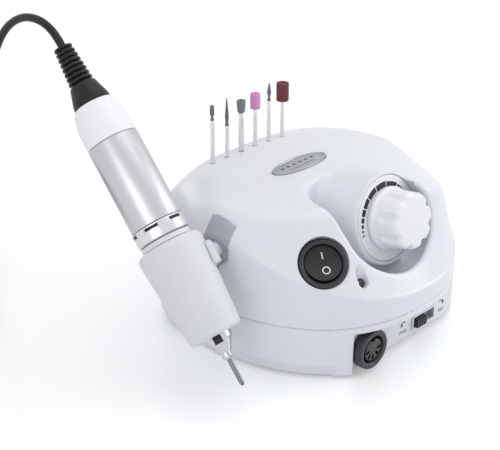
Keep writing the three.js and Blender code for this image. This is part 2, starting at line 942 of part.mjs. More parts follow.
// The insert that holds the five contact holes in their arc.
function socketInsert() {
  const back = -panel.thickness - panel.backing - seatGap;
  const face = socket.reach - socket.mouthDepth + socket.throatLength / 2;
  let body = rod(socket.throatDiameter - 2 * seatGap, back, face);
  for (let i = 0; i < 5; i += 1) {
    const angle = Math.PI + (Math.PI * i) / 4;
    const hole = rod(socket.pinDiameter, face - socket.throatLength / 2, face + overrun, 10);
    const reach = socket.pinCircleDiameter / 2;
    body = body.subtract(hole.translate(reach * Math.cos(angle), reach * Math.sin(angle), 0));
  }
  const key = block(
    [-socket.keyWidth / 2, socket.keyWidth / 2],
    [socket.throatDiameter / 2 - socket.keyDepth, socket.throatDiameter],
    [face - socket.throatLength / 2, face + overrun],
  );
  return body.subtract(key);
}

function slideFrame() {
  const lip = slideSwitch.frameLip;
  const outer = rectangle(slideSwitch.slotLength + 2 * lip, slideSwitch.slotHeight + 2 * lip);
  const body = rectangle(slideSwitch.slotLength, slideSwitch.slotHeight);
  const opening = rectangle(
    slideSwitch.leverLength + slideSwitch.travel + 2 * runningGap,
    slideSwitch.leverHeight + 2 * runningGap,
  );
  const root = -slideSwitch.leverRoot - 2 * runningGap;
  return extruded(outer, seatGap, seatGap + slideSwitch.frameThickness)
    .add(extruded(body, -slideSwitch.bodyDepth, seatGap + slideSwitch.frameThickness))
    .subtract(extruded(opening, root, overrun));
}

// The lever, drawn at the left end of its travel, with three grip grooves.
function slideLever() {
  const outline = rectangle(slideSwitch.leverLength, slideSwitch.leverHeight);
  const pitch = slideSwitch.leverLength / 4;
  let body = extruded(outline, -slideSwitch.leverRoot, slideSwitch.leverReach);
  for (const i of [-1, 0, 1]) {
    const groove = block(
      [i * pitch - pitch / 5, i * pitch + pitch / 5],
      [-slideSwitch.leverHeight, slideSwitch.leverHeight],
      [slideSwitch.leverReach - pitch / 3, slideSwitch.leverReach + overrun],
    );
    body = body.subtract(groove);
  }
  return body.translate([-slideSwitch.travel / 2, 0, 0]);
}

// Rocker switch

function rockerHousing() {
  const { bezelDiameter, bodyDiameter, mouthDiameter, bezelEdge } = rocker;
  return turned([
    [0, -rocker.bodyLength],
    [bodyDiameter / 2, -rocker.bodyLength],
    [bodyDiameter / 2, -rocker.bezelHeight + seatGap],
    [bezelDiameter / 2, -rocker.bezelHeight + seatGap],
    [bezelDiameter / 2, -bezelEdge],
    [bezelDiameter / 2 - bezelEdge, 0],
    [mouthDiameter / 2 + bezelEdge, 0],
    [mouthDiameter / 2, -bezelEdge],
    [mouthDiameter / 2, -rocker.mouthDepth],
    [0, -rocker.mouthDepth],
  ], 24);
}

// The button is a ball's middle with a shallow valley across its face. It pivots about +X.
function rockerButton() {
  const radius = rocker.buttonDiameter / 2;
  const tilt = THREE.MathUtils.degToRad(rocker.faceDegrees);
  const top = radius * Math.sin(tilt) * 1.6;
  const stops = [-0.5, -0.25, 0, 0.25, 0.5];
  const profile = stops.map((share) => {
    const height = share * 2 * rocker.buttonDepth;
    return [Math.sqrt(radius * radius - height * height), height];
  });
  const ball = turned([[0, -rocker.buttonDepth], ...profile, [0, rocker.buttonDepth]], 28);
  const slope = Math.tan(tilt) * radius;
  const valley = [
    [-radius, top], [0, top - slope], [radius, top], [radius, radius], [-radius, radius],
  ];
  const cut = extruded(valley, -radius, radius);
  const across = new THREE.Matrix4().makeBasis(
    new THREE.Vector3(0, 1, 0),
    new THREE.Vector3(0, 0, 1),
    new THREE.Vector3(1, 0, 0),
  );
  return ball.subtract(moved(cut, across));
}

// Speed knob

function speedKnob() {
  const bottom = seatGap;
  const top = knob.length;
  const [base, cap] = [knob.baseDiameter / 2, knob.capDiameter / 2];
  let body = turned([
    [0, bottom + knob.rim / 2],
    [base - knob.rim, bottom + knob.rim / 2],
    [base - knob.rim / 2, bottom],
    [base, bottom + knob.rim / 4],
    [base, bottom + knob.rim],
    [cap + knob.edge / 4, top - knob.edge],
    [cap - knob.edge / 3, top - knob.edge / 3],
    [cap - knob.edge, top],
    [0, top],
  ], 28);
  const reach = cap + knob.fluteDiameter / 2 - knob.fluteDepth;
  const flute = turned([
    [0, knob.fluteStart - knob.fluteDiameter / 2],
    [knob.fluteDiameter / 3, knob.fluteStart - knob.fluteDiameter / 4],
    [knob.fluteDiameter / 2, knob.fluteStart + knob.fluteDiameter / 4],
    [knob.fluteDiameter / 2, top + overrun],
    [0, top + overrun],
  ], 6);
  for (let i = 0; i < knob.fluteCount; i += 1) {
    const angle = (2 * Math.PI * (i + 0.5)) / knob.fluteCount;
    body = body.subtract(flute.translate(reach * Math.cos(angle), reach * Math.sin(angle), 0));
  }
  const shaftHole = rod(knob.shaftDiameter + 2 * seatGap, -overrun, knob.shaftLength + seatGap, 16);
  return body.subtract(shaftHole);
}

function dialPlate() {
  const bottom = -knob.plateThickness;
  return ring(knob.plateDiameter, knob.bushDiameter + 2 * seatGap, bottom, 0, 32);
}

// The potentiometer's can with its threaded bush through the boss.
const potFace = -3 * housing.wall - seatGap;

function potBody() {
  const bushTop = -knob.plateThickness - seatGap;
  const bore = knob.shaftDiameter / 2 + runningGap / 2;
  return turned([
    [bore, potFace - knob.potLength / 2],
    [bore, bushTop],
    [knob.bushDiameter / 2, bushTop],
    [knob.bushDiameter / 2, potFace],
    [knob.potDiameter / 2, potFace],
    [knob.potDiameter / 2, potFace - knob.potLength],
    [0, potFace - knob.potLength],
    [0, potFace - knob.potLength / 2],
    [bore, potFace - knob.potLength / 2],
  ], 24);
}

function potShaft() {
  const bottom = potFace - knob.potLength / 2 + seatGap;
  return rod(knob.shaftDiameter, bottom, knob.shaftLength, 16);
}

// Status light and badge

function statusLed() {
  const radius = led.diameter / 2;
  const top = -seatGap;
  return turned([
    [0, -led.length],
    [radius, -led.length],
    [radius, top - radius],
    [radius * 0.8, top - radius * 0.4],
    [radius * 0.45, top - radius * 0.1],
    [0, top],
  ], 16);
}

function badgePlate() {
  const plate = extruded(ovalOutline(badge.length, badge.width), 0, badge.thickness);
  const field = ovalOutline(badge.length - 2 * badge.rim, badge.width - 2 * badge.rim);
  return plate.subtract(extruded(field, badge.thickness - badge.rimDepth, overrun));
}

// Cradle for the handpiece

const clipMiddle = (cradle.z - handpiece.tip[2]) / Math.cos(handpieceLean);
const clipBottom = clipMiddle - cradle.clipHeight / 2;
const clipTop = clipMiddle + cradle.clipHeight / 2;
const clipOuter = gripRadius(clipTop) + seatGap + cradle.clipWall;
const collarEnd = handpiece.tip[0] + clipOuter / 2;

// The grey knuckle on the notch's floor.
function cradleKnuckle() {
  const from = cradle.floorX - seatGap;
  const end = -cradle.knuckleEnd;
  const body = bevelledRod(cradle.knuckleDiameter, -from, end, cradle.knuckleEdge);
  const seat = rod(cradle.stubDiameter + 2 * seatGap, end - cradle.stubLength - seatGap, end + overrun);
  return moved(body.subtract(seat), toLeft());
}

// Turns +Z to point left, at the cradle's place.
function toLeft() {
  return new THREE.Matrix4().makeRotationY(-Math.PI / 2).setPosition(0, cradle.y, cradle.z);
}

// The clip wraps the grip's inner side and follows its taper.
function cradleFork() {
  const inner = (along) => gripRadius(along) + seatGap;
  const collar = turned([
    [inner(clipBottom), clipBottom],
    [clipOuter, clipBottom],
    [clipOuter, clipTop],
    [inner(clipTop), clipTop],
    [inner(clipBottom), clipBottom],
  ], 40);
  const half = THREE.MathUtils.degToRad(cradle.clipDegrees / 2);
  const far = 3 * clipOuter;
  const wedge = [
    [0, 0],
    [far * Math.cos(half), far * Math.sin(half)],
    [-far, far],
    [-far, -far],
    [far * Math.cos(half), -far * Math.sin(half)],
  ];
  const clip = collar.subtract(extruded(wedge, clipBottom - overrun, clipTop + overrun));
  const core = turned([
    [0, handpiece.gripBottom], [inner(handpiece.gripBottom), handpiece.gripBottom],
    [inner(handpiece.barrelBottom), handpiece.barrelBottom], [0, handpiece.barrelBottom],
  ], 40);
  const stub = turned([
    [0, -cradle.knuckleEnd - cradle.stubLength],
    [cradle.stubDiameter / 2, -cradle.knuckleEnd - cradle.stubLength],
    [cradle.stubDiameter / 2, -cradle.knuckleEnd + seatGap],
    [cradle.collarDiameter / 2, -cradle.knuckleEnd + seatGap],
    [cradle.collarDiameter / 2, -collarEnd],
    [0, -collarEnd],
  ]);
  const pad = moved(stub, toLeft()).subtract(moved(core, handpieceFrame));
  return moved(clip, handpieceFrame).add(pad);
}

// Inside the control unit

function transformerCore() {
  const { width, stack, height, leg } = transformer;
  const bottom = floorTop + seatGap;
  const outer = block([-width / 2, width / 2], [-stack / 2, stack / 2], [bottom, bottom + height]);
  let body = outer;
  for (const side of [-1, 1]) {
    const [from, to] = side < 0 ? [-width / 2 + leg, -leg] : [leg, width / 2 - leg];
    const window = block([from, to], [-stack, stack], [bottom + leg, bottom + height - leg]);
    body = body.subtract(window);
  }
  return body.translate([...transformer.centre, 0]);
}

function transformerCoil() {
  const { width, stack, height, leg, coilReach } = transformer;
  const bottom = floorTop + seatGap + leg + seatGap;
  const top = floorTop + seatGap + height - leg - seatGap;
  const side = width / 2 - leg - seatGap;
  const reach = stack / 2 + coilReach;
  const outer = block([-side, side], [-reach, reach], [bottom, top]);
  const inner = block(
    [-leg - seatGap, leg + seatGap],
    [-stack / 2 - seatGap, stack / 2 + seatGap],
    [bottom - overrun, top + overrun],
  );
  return outer.subtract(inner).translate([...transformer.centre, 0]);
}

function circuitBoard() {
  const plate = block(
    [-board.width / 2, board.width / 2],
    [-board.length / 2, board.length / 2],
    [board.height, board.height + board.thickness],
  );
  return plate.translate([...board.centre, 0]);
}

const boardTop = board.height + board.thickness + seatGap;

function smoothingCapacitor() {
  const top = boardTop + capacitor.length;
  return bevelledRod(capacitor.diameter, boardTop, top, seatGap * 2, 20)
    .translate([...capacitor.centre, 0]);
}

function heatSinkBody() {
  const { width, depth, height, fin } = heatSink;
  const outline = [
    [-width / 2, 0], [width / 2, 0], [width / 2, depth], [width / 2 - fin, depth],
    [width / 2 - fin, fin], [fin / 2, fin], [fin / 2, depth], [-fin / 2, depth],
    [-fin / 2, fin], [-width / 2 + fin, fin], [-width / 2 + fin, depth], [-width / 2, depth],
  ];
  return extruded(outline, boardTop, boardTop + height).translate([...heatSink.centre, 0]);
}

// The bush that the mains lead enters by, through the back wall.
function mainsGland() {
  const face = seatGap;
  const body = turned([
    [gland.bore / 2, -gland.neckLength],
    [gland.neckDiameter / 2, -gland.neckLength],
    [gland.neckDiameter / 2, face],
    [gland.flangeDiameter / 2, face],
    [gland.flangeDiameter / 2, face + gland.flangeThickness / 2],
    [gland.flangeDiameter / 2 - seatGap * 2, face + gland.flangeThickness],
    [gland.bore / 2, face + gland.flangeThickness],
    [gland.bore / 2, -gland.neckLength],
  ], 20);
  return moved(body, glandFrame);
}

function rubberFoot() {
  const edge = foot.pocketDepth / 3;
  return bevelledRod(foot.diameter, 0, foot.height, edge, 16);
}

function caseScrew() {
  const neck = column.seat - seatGap;
  const bottom = neck - column.headHeight;
  const [head, shank] = [column.headDiameter / 2, column.shankDiameter / 2];
  return turned([
    [0, bottom], [head * 0.7, bottom], [head, bottom + column.headHeight / 2], [head, neck],
    [shank, neck], [shank, screwTop - shank], [0, screwTop],
  ], 8);
}

// Bits in the rack: a steel shank with its working end, drawn from the shank's foot at z = 0.

const heads = {
  barrelTip: { total: 42, neck: 36, diameter: 2.3 },
  needle: { total: 43, neck: 30, diameter: 2.2 },
  cone: { total: 38.8, neck: 32.4, diameter: 4, topDiameter: 5, shankSleeve: 3.2 },
  cylinder: { total: 39.9, neck: 31.4, diameter: 5.4 },
  flame: { total: 43.3, neck: 35.3, diameter: 2.3 },
  drum: { total: 40.3, neck: 30.3, diameter: 6.8 },
};

function shankTo(height, tipProfile) {
  const radius = bit.shankDiameter / 2;
  return turned([
    [0, 0], [radius * 0.8, 0], [radius, radius / 2], [radius, height], ...tipProfile,
  ], 8);
}

function barrelBit() {
  const { total, neck, diameter } = heads.barrelTip;
  const waist = bit.shankDiameter / 4;
  return shankTo(neck - diameter, [
    [waist, neck], [diameter / 2, neck + waist], [diameter / 2, total - waist], [0, total],
  ]);
}

function needleBit() {
  const { total, neck, diameter } = heads.needle;
  return shankTo(neck - diameter, [
    [diameter / 3, neck], [diameter / 2, neck + diameter], [diameter / 8, total], [0, total],
  ]);
}

function flameBit() {
  const { total, neck, diameter } = heads.flame;
  const length = total - neck;
  return shankTo(neck - diameter, [
    [diameter / 4, neck], [diameter / 2, neck + length * 0.25], [diameter / 2.4, neck + length / 2],
    [diameter / 5, total - length * 0.12], [0, total],
  ]);
}

// A mandrel whose thin top holds a stone, with the stone's bore around it.
function mandrel(neck, total, sleeve = bit.shankDiameter) {
  const [core, outer] = [bit.shankDiameter / 4, sleeve / 2];
  const profile = [[core, neck - seatGap], [core, total - 2 * core], [0, total - 2 * core]];
  const collar = [[outer, neck / 3], [outer, neck - seatGap]];
  return shankTo(neck / 3, [...collar, ...profile]);
}

function stone(profileBottom, profileTop, neck, total) {
  const bore = bit.shankDiameter / 4 + seatGap;
  const edge = seatGap;
  return turned([
    [bore, neck], [profileBottom - edge, neck], [profileBottom, neck + edge],
    [profileTop, total - edge], [profileTop - edge, total], [bore, total], [bore, neck],
  ], 12);
}

function bitPieces() {
  const bottom = rackTop - bit.seatDepth;
  const { cone, cylinder, drum } = heads;
  const members = [
    [['bit_1_barrel', barrelBit(), finishes.steel]],
    [['bit_2_needle', needleBit(), finishes.steel]],
    [
      ['bit_3_mandrel', mandrel(cone.neck, cone.total, cone.shankSleeve), finishes.steel],
      ['bit_3_grey_cone', stone(cone.diameter / 2, cone.topDiameter / 2, cone.neck, cone.total),
        finishes.greyStone],
    ],
    [
      ['bit_4_mandrel', mandrel(cylinder.neck, cylinder.total), finishes.steel],
      ['bit_4_pink_cylinder', stone(cylinder.diameter / 2, cylinder.diameter / 2, cylinder.neck,
        cylinder.total), finishes.pinkStone],
    ],
    [['bit_5_flame', flameBit(), finishes.steel]],
    [
      ['bit_6_mandrel', mandrel(drum.neck, drum.total), finishes.steel],
      ['bit_6_sanding_band', stone(drum.diameter / 2, drum.diameter / 2, drum.neck, drum.total),
        finishes.brownBand],
    ],
  ];
  return members.map((pieces, i) => {
    const holder = group(...pieces.map(([name, body, look]) => piece(name, body, look)));
    holder.position.set(bitXs[i], rack.y, bottom);
    return holder;
  });
}

// Handpiece

// The milky sleeve: a rounded shoulder at its wide top, a slow taper to the nose.
function gripSleeve() {
  const { gripBottom, gripTop, gripBore, gripEdge, sides } = handpiece;
  const bore = gripBore / 2;
  return turned([
    [bore, gripBottom],
    [gripRadius(gripBottom) - gripEdge / 2, gripBottom],
    [gripRadius(gripBottom), gripBottom + gripEdge / 2],
    [gripRadius(gripTop) - gripEdge / 8, gripTop - gripEdge * 2],
    [gripRadius(gripTop) - gripEdge / 2, gripTop - gripEdge],
    [gripRadius(gripTop) - gripEdge * 1.6, gripTop],
    [bore, gripTop],
    [bore, gripBottom],
  ], sides);
}

// The metal tube inside the sleeve, with the white collar that shows above it.
function frontHousing() {
  const { gripBottom, gripTop, ringBottom, housingDiameter, housingBore, sides } = handpiece;
  const [outer, bore] = [housingDiameter / 2, housingBore / 2];
  const collar = handpiece.barrelDiameter / 2 - seatGap;
  return turned([
    [bore, gripBottom + seatGap],
    [outer, gripBottom + seatGap],
    [outer, gripTop + seatGap],
    [collar, gripTop + seatGap],
    [collar, ringBottom - seatGap],
    [outer, ringBottom - seatGap],
    [outer, handpiece.barrelBottom - seatGap],
    [bore, handpiece.barrelBottom - seatGap],
    [bore, gripBottom + seatGap],
  ], sides);
}

function noseCone() {
  const { noseTip, gripBottom, noseDiameter, noseTipDiameter, noseBore, housingBore } = handpiece;
  const back = gripBottom + 2 * seatGap;
  const spigot = housingBore / 2 - seatGap;
  const length = gripBottom - noseTip;
  let body = turned([
    [noseBore / 2, noseTip],
    [noseTipDiameter / 2, noseTip],
    [noseDiameter / 2 - length / 8, noseTip + length * 0.55],
    [noseDiameter / 2, noseTip + length * 0.65],
    [noseDiameter / 2, back],
    [spigot, back],
    [spigot, spindle.frontBearing - seatGap],
    [noseBore / 2, spindle.frontBearing - seatGap],
    [noseBore / 2, noseTip],
  ], 24);
  const flatDepth = length / 10;
  for (const side of [-1, 1]) {
    const near = noseDiameter / 2 - flatDepth;
    const spanY = side < 0 ? [-noseDiameter, -near] : [near, noseDiameter];
    const flat = block(
      [-length / 4, length / 4],
      spanY,
      [noseTip + length * 0.45, gripBottom - seatGap],
    );
    body = body.subtract(flat.rotate([0, 0, handpiece.flatDegrees]));
  }
  return body;
}

// The twist ring that opens and closes the collet, with its index slots.
function lockRing() {
  const { ringBottom, barrelBottom, ringDiameter, housingDiameter, sides } = handpiece;
  const top = barrelBottom - seatGap;
  const edge = seatGap * 2;
  const bore = housingDiameter / 2 + seatGap;
  let body = turned([
    [bore, ringBottom],
    [ringDiameter / 2 - edge, ringBottom],
    [ringDiameter / 2, ringBottom + edge],
    [ringDiameter / 2, top],
    [bore, top],
    [bore, ringBottom],
  ], sides);
  const slotWidth = (top - ringBottom) / 3;
  for (let i = 0; i < 3; i += 1) {
    const slot = block(
      [ringDiameter / 2 - edge, ringDiameter],
      [-2 * slotWidth, 2 * slotWidth],
      [top - slotWidth / 2, top + overrun],
    );
    body = body.subtract(slot.rotate([0, 0, 120 * i + 50]));
  }
  return body;
}

function barrel() {
  const { barrelBottom, barrelTop, barrelDiameter, barrelWall, sides } = handpiece;
  const edge = seatGap;
  const outer = barrelDiameter / 2;
  return turned([
    [outer - barrelWall, barrelBottom],
    [outer - edge, barrelBottom],
    [outer, barrelBottom + edge],
    [outer, barrelTop - seatGap],
    [outer - barrelWall, barrelTop - seatGap],
    [outer - barrelWall, barrelBottom],
  ], sides);
}

// The white end cap, which draws in toward the cord.
function rearCap() {
  const { barrelTop, capTop, barrelDiameter, capTopDiameter, capWall, capBore, sides } = handpiece;
  const outer = barrelDiameter / 2;
  const spigot = outer - handpiece.barrelWall - seatGap;
  const length = capTop - barrelTop;
  const topOuter = capTopDiameter / 2;
  return turned([
    [spigot - capWall, barrelTop - 2 * capWall],
    [spigot, barrelTop - 2 * capWall],
    [spigot, barrelTop],
    [outer, barrelTop],
    [outer, barrelTop + length * 0.45],
    [outer - capWall / 4, barrelTop + length * 0.62],
    [topOuter + capWall / 3, capTop - capWall],
    [topOuter - capWall / 3, capTop],
    [capBore / 2, capTop],
    [capBore / 2, capTop - capWall],
    [topOuter - capWall, capTop - 2 * capWall],
    [spigot - capWall, barrelTop + length * 0.4],
    [spigot - capWall, barrelTop - 2 * capWall],
  ], sides);
}

function motorCan() {
  const { motorBottom, motorTop, motorDiameter, motorShaftDiameter } = spindle;
  const bore = motorShaftDiameter / 2 + runningGap;
  const edge = seatGap * 2;
  const radius = motorDiameter / 2;
  const end = motorTop - 3 * edge;
  return turned([
    [bore, motorBottom], [radius - edge, motorBottom], [radius, motorBottom + edge],
    [radius, motorTop - edge], [radius - edge, motorTop], [0, motorTop], [0, end], [bore, end],
    [bore, motorBottom],
  ], 24);
}

// Collet jaws at the front and the shaft behind them turn together.
function colletPiece() {
  const { colletTip, colletDiameter, colletLength } = spindle;
  const back = colletTip + colletLength;
  const bore = bit.shankDiameter / 2 + seatGap;
  const [outer, tip] = [colletDiameter / 2, colletDiameter / 2 - seatGap * 2];
  let body = turned([
    [bore, colletTip], [tip, colletTip], [outer, colletTip + 2 * (outer - tip)], [outer, back],
    [bore, back], [bore, colletTip],
  ], 18);
  for (let i = 0; i < 3; i += 1) {
    const slit = block(
      [0, colletDiameter],
      [-seatGap / 2, seatGap / 2],
      [colletTip - overrun, colletTip + colletLength / 2],
    );
    body = body.subtract(slit.rotate([0, 0, 120 * i + 30]));
  }
  return body;
}

function spindleShaft() {
  const { colletTip, colletLength, shaftDiameter, shaftTop, motorShaftDiameter } = spindle;
  const bottom = colletTip + colletLength + seatGap;
  const end = spindle.motorTop - 3 * overrun;
  return turned([
    [0, bottom], [shaftDiameter / 2, bottom], [shaftDiameter / 2, shaftTop],
    [motorShaftDiameter / 2, shaftTop], [motorShaftDiameter / 2, end], [0, end],
  ], 18);
}

function bearing(at) {
  const { shaftDiameter, bearingDiameter, bearingWidth } = spindle;
  const [bore, outer] = [shaftDiameter / 2 + seatGap, bearingDiameter / 2];
  const top = at + bearingWidth;
  const [inner, outerLip] = [bore + (outer - bore) * 0.35, bore + (outer - bore) * 0.65];
  const groove = bearingWidth / 8;
  return turned([
    [bore, at], [inner, at], [inner, at + groove], [outerLip, at + groove], [outerLip, at],
    [outer, at], [outer, top], [bore, top], [bore, at],
  ], 16);
}

function fittedBit() {
  const radius = bit.shankDiameter / 2;
  return turned([
    [0, -spindle.bitReach], [radius / 2, -spindle.bitReach], [radius, radius - spindle.bitReach],
    [radius, spindle.bitLength], [0, spindle.bitLength],
  ], 12);
}

// The black strain relief: a smooth cone on the cap, then ribs that thin toward the cord.
function strainRelief() {
  const { capTop, capBore, reliefTop } = handpiece;
  const bottom = capTop + seatGap;
  const bore = cord.diameter / 2 + seatGap;
  const coneTop = bottom + relief.coneLength;
  const profile = [
    [bore, bottom - relief.spigotLength],
    [capBore / 2 - seatGap, bottom - relief.spigotLength],
    [capBore / 2 - seatGap, bottom],
    [relief.coneBottomDiameter / 2, bottom],
    [relief.coneTopDiameter / 2, coneTop],
    [relief.coreDiameter / 2, coneTop + seatGap],
  ];
  const pitch = (reliefTop - coneTop - seatGap) / relief.ribCount;
  for (let i = 0; i < relief.ribCount; i += 1) {
    const start = coneTop + seatGap + i * pitch;
    const share = i / (relief.ribCount - 1);
    const { ribDiameter, lastRibDiameter } = relief;
    const outer = (ribDiameter + (lastRibDiameter - ribDiameter) * share) / 2;
    const core = relief.coreDiameter / 2 - share * seatGap * 2;
    profile.push(
      [core, start + pitch * 0.35], [outer, start + pitch * 0.5], [outer, start + pitch * 0.95],
    );
  }
  profile.push([bore, reliefTop], [bore, bottom - relief.spigotLength]);
  return turned(profile, 10);
}

// Cord

function circleShape(diameter, sides) {
  const points = Array.from({ length: sides }, (_, i) => {
    const angle = (2 * Math.PI * i) / sides;
    return new THREE.Vector2((diameter / 2) * Math.cos(angle), (diameter / 2) * Math.sin(angle));
  });
  return new THREE.Shape(points);
}

function cordRun() {
  const curve = new THREE.CatmullRomCurve3(
    [...cordRoute.map((point) => new THREE.Vector3(...point)), ...coilEntry()],
    false,
    'centripetal',
  );
  const shape = circleShape(cord.diameter, cord.tubeSides);
  return solid(new THREE.ExtrudeGeometry(shape, {
    steps: cord.tubeSteps, extrudePath: curve, bevelEnabled: false,
  }));
}

const coilInner = (cord.coilMeanDiameter - cord.coilPitch * cord.coilTurnsIn) / 2;
const coilFloor = (cord.diameter + seatGap) / 2;
const plugAxis = (plug.shellDiameter + seatGap) / 2;

// The coil's middle line: in at a steady rate, up a layer in the half turn where it reverses, and
// out again, rising to the plug's axis over its last quarter turn. It starts and ends with a
// straight piece one cord diameter long.
function coilPath() {
  const turns = cord.coilTurnsIn + cord.coilTurnsOut;
  const steps = turns * cord.coilStepsPerTurn;
  const [cx, cy] = cord.coilCentre;
  const secondLayer = coilFloor + cord.coilLayerRise;
  const points = Array.from({ length: steps + 1 }, (_, i) => {
    const turn = i / cord.coilStepsPerTurn;
    const climb = easedStep(cord.coilTurnsIn - 0.25, cord.coilTurnsIn + 0.25, turn);
    const lift = easedStep(turns - 0.25, turns, turn);
    const radius = coilInner + cord.coilPitch * Math.abs(turn - cord.coilTurnsIn)
      + cord.plugSwing * lift;
    const angle = 2 * Math.PI * (turn + 0.25);
    return new THREE.Vector3(
      cx + radius * Math.cos(angle),
      cy + radius * Math.sin(angle),
      coilFloor + cord.coilLayerRise * climb + (plugAxis - secondLayer) * lift,
    );
  });
  const lastAngle = 2 * Math.PI * (turns + 0.5);
  const onward = new THREE.Vector3(Math.cos(lastAngle), Math.sin(lastAngle), 0);
  const start = points[0].clone().add(new THREE.Vector3(cord.diameter, 0, 0));
  const end = points[steps].clone().addScaledVector(onward, cord.diameter);
  return [start, ...points, end];
}

// The last points of the run, level and square to the coil's first face.
function coilEntry() {
  const start = coilPath()[0];
  const step = new THREE.Vector3(cord.diameter, 0, 0);
  return [start.clone().addScaledVector(step, 1.2), start.clone().add(
    new THREE.Vector3(seatGap, 0, 0),
  )];
}

// A tube of few sides through a list of points, with a level ring at each.
function tubeThrough(points, diameter, sides) {
  const up = new THREE.Vector3(0, 0, 1);
  const rings = points.map((point, i) => {
    const before = points[Math.max(i - 1, 0)];
    const after = points[Math.min(i + 1, points.length - 1)];
    const along = after.clone().sub(before).normalize();
    const side = along.clone().cross(up).normalize();
    const top = side.clone().cross(along);
    return Array.from({ length: sides }, (_, k) => {
      const angle = (2 * Math.PI * (k + 0.5)) / sides;
      return point.clone()
        .addScaledVector(side, (diameter / 2) * Math.cos(angle))
        .addScaledVector(top, (diameter / 2) * Math.sin(angle))
        .toArray();
    });
  });
  return lofted(rings);
}

function cordCoil() {
  const points = coilPath();
  let least = Infinity;
  const apart = cord.coilStepsPerTurn / 2;
  for (let i = 0; i < points.length; i += 1) {
    for (let j = i + apart; j < points.length; j += 1) {
      least = Math.min(least, points[i].distanceTo(points[j]) - cord.diameter);
    }
  }
  console.log(`least gap between the coil's loops: ${least.toFixed(2)} mm`);
  return tubeThrough(points, cord.diameter, cord.coilSides);
}

// The plug lies beside the coil's last turn, its cable end against the cord.
function plugShell() {
  const { shellDiameter, shellLength, tailDiameter, tailLength, sleeveDiameter, wall } = plug;
  const bore = cord.diameter / 2 + seatGap;
  return turned([
    [bore, 0],
    [tailDiameter / 2, 0],
    [tailDiameter / 2 + wall / 2, tailLength],
    [shellDiameter / 2, tailLength + wall],
    [shellDiameter / 2, shellLength - wall / 2],
    [shellDiameter / 2 - wall / 2, shellLength],
    [sleeveDiameter / 2 + seatGap, shellLength],
    [sleeveDiameter / 2 + seatGap, tailLength + 2 * wall],
    [bore, tailLength + 2 * wall],
    [bore, 0],
  ], 20);
}

// The metal sleeve and its insulator with the five pins.
function plugCore() {
  const { shellLength, sleeveDiameter, sleeveLength, tailLength, wall } = plug;
  const back = tailLength + 2 * wall + seatGap;
  const front = shellLength + sleeveLength;
  let body = turned([
    [0, back], [sleeveDiameter / 2, back], [sleeveDiameter / 2, front],
    [sleeveDiameter / 2 - wall / 2, front],
    [sleeveDiameter / 2 - wall / 2, shellLength + wall], [0, shellLength + wall],
  ], 20);
  for (let i = 0; i < 5; i += 1) {
    const angle = Math.PI + (Math.PI * i) / 4;
    const reach = socket.pinCircleDiameter / 2 - wall / 2;
    const pin = rod(wall, shellLength, front - wall, 8);
    body = body.add(pin.translate(reach * Math.cos(angle), reach * Math.sin(angle), 0));
  }
  return body;
}

// Assembly

const controlUnit = group(
  piece('base_shell', baseShell(), finishes.shell),
  piece('upper_shell', upperShell(), finishes.shell),
  piece('front_panel', frontPanel(), finishes.shell),
  piece('din_socket_housing', onPanel(socketHousing(), socket.x, socket.z), finishes.blackPlastic),
  piece('din_socket_insert', onPanel(socketInsert(), socket.x, socket.z), finishes.softBlack),
  piece('slide_switch_frame', onPanel(slideFrame(), slideSwitch.x, slideSwitch.z),
    finishes.blackPlastic),
  piece('slide_switch_lever', onPanel(slideLever(), slideSwitch.x, slideSwitch.z),
    finishes.blackPlastic),
  framedGroup(badgeFrame, piece('badge', badgePlate(), finishes.badgeSilver)),
  framedGroup(ledFrame, piece('status_led', statusLed(), finishes.ledRed)),
  piece('cradle_knuckle', cradleKnuckle(), finishes.knuckleGrey),
  piece('cradle_fork', cradleFork(), finishes.milkySleeve),
  piece('transformer_core', transformerCore(), finishes.iron),
  piece('transformer_coil', transformerCoil(), finishes.copper),
  piece('circuit_board', circuitBoard(), finishes.boardGreen),
  piece('smoothing_capacitor', smoothingCapacitor(), finishes.sleeveBlue),
  piece('heat_sink', heatSinkBody(), finishes.aluminium),
  piece('mains_gland', mainsGland(), finishes.softBlack),
);

for (const [place, x, y] of footPlaces) {
  const mesh = piece(`foot_${place}`, rubberFoot(), finishes.rubber);
  mesh.position.set(x, y, 0);
  controlUnit.add(mesh);
}
for (const [place, x, y] of screwPlaces) {
  const mesh = piece(`case_screw_${place}`, caseScrew(), finishes.tin);
  mesh.position.set(x, y, 0);
  controlUnit.add(mesh);
}

const rockerPivot = new THREE.Group();
rockerPivot.position.z = -rocker.pivotDepth;
rockerPivot.rotation.x = -THREE.MathUtils.degToRad(rocker.throwDegrees / 2);
rockerPivot.add(piece('rocker_button', rockerButton(), finishes.blackPlastic));
controlUnit.add(framedGroup(
  rockerFrame,
  piece('rocker_housing', rockerHousing(), finishes.blackPlastic),
  rockerPivot,
));

controlUnit.add(framedGroup(
  knobFrame,
  piece('dial_plate', dialPlate(), finishes.knobWhite),
  piece('speed_knob', speedKnob(), finishes.knobWhite),
  piece('potentiometer', potBody(), finishes.tin),
  piece('potentiometer_shaft', potShaft(), finishes.aluminium),
));

controlUnit.add(...bitPieces());

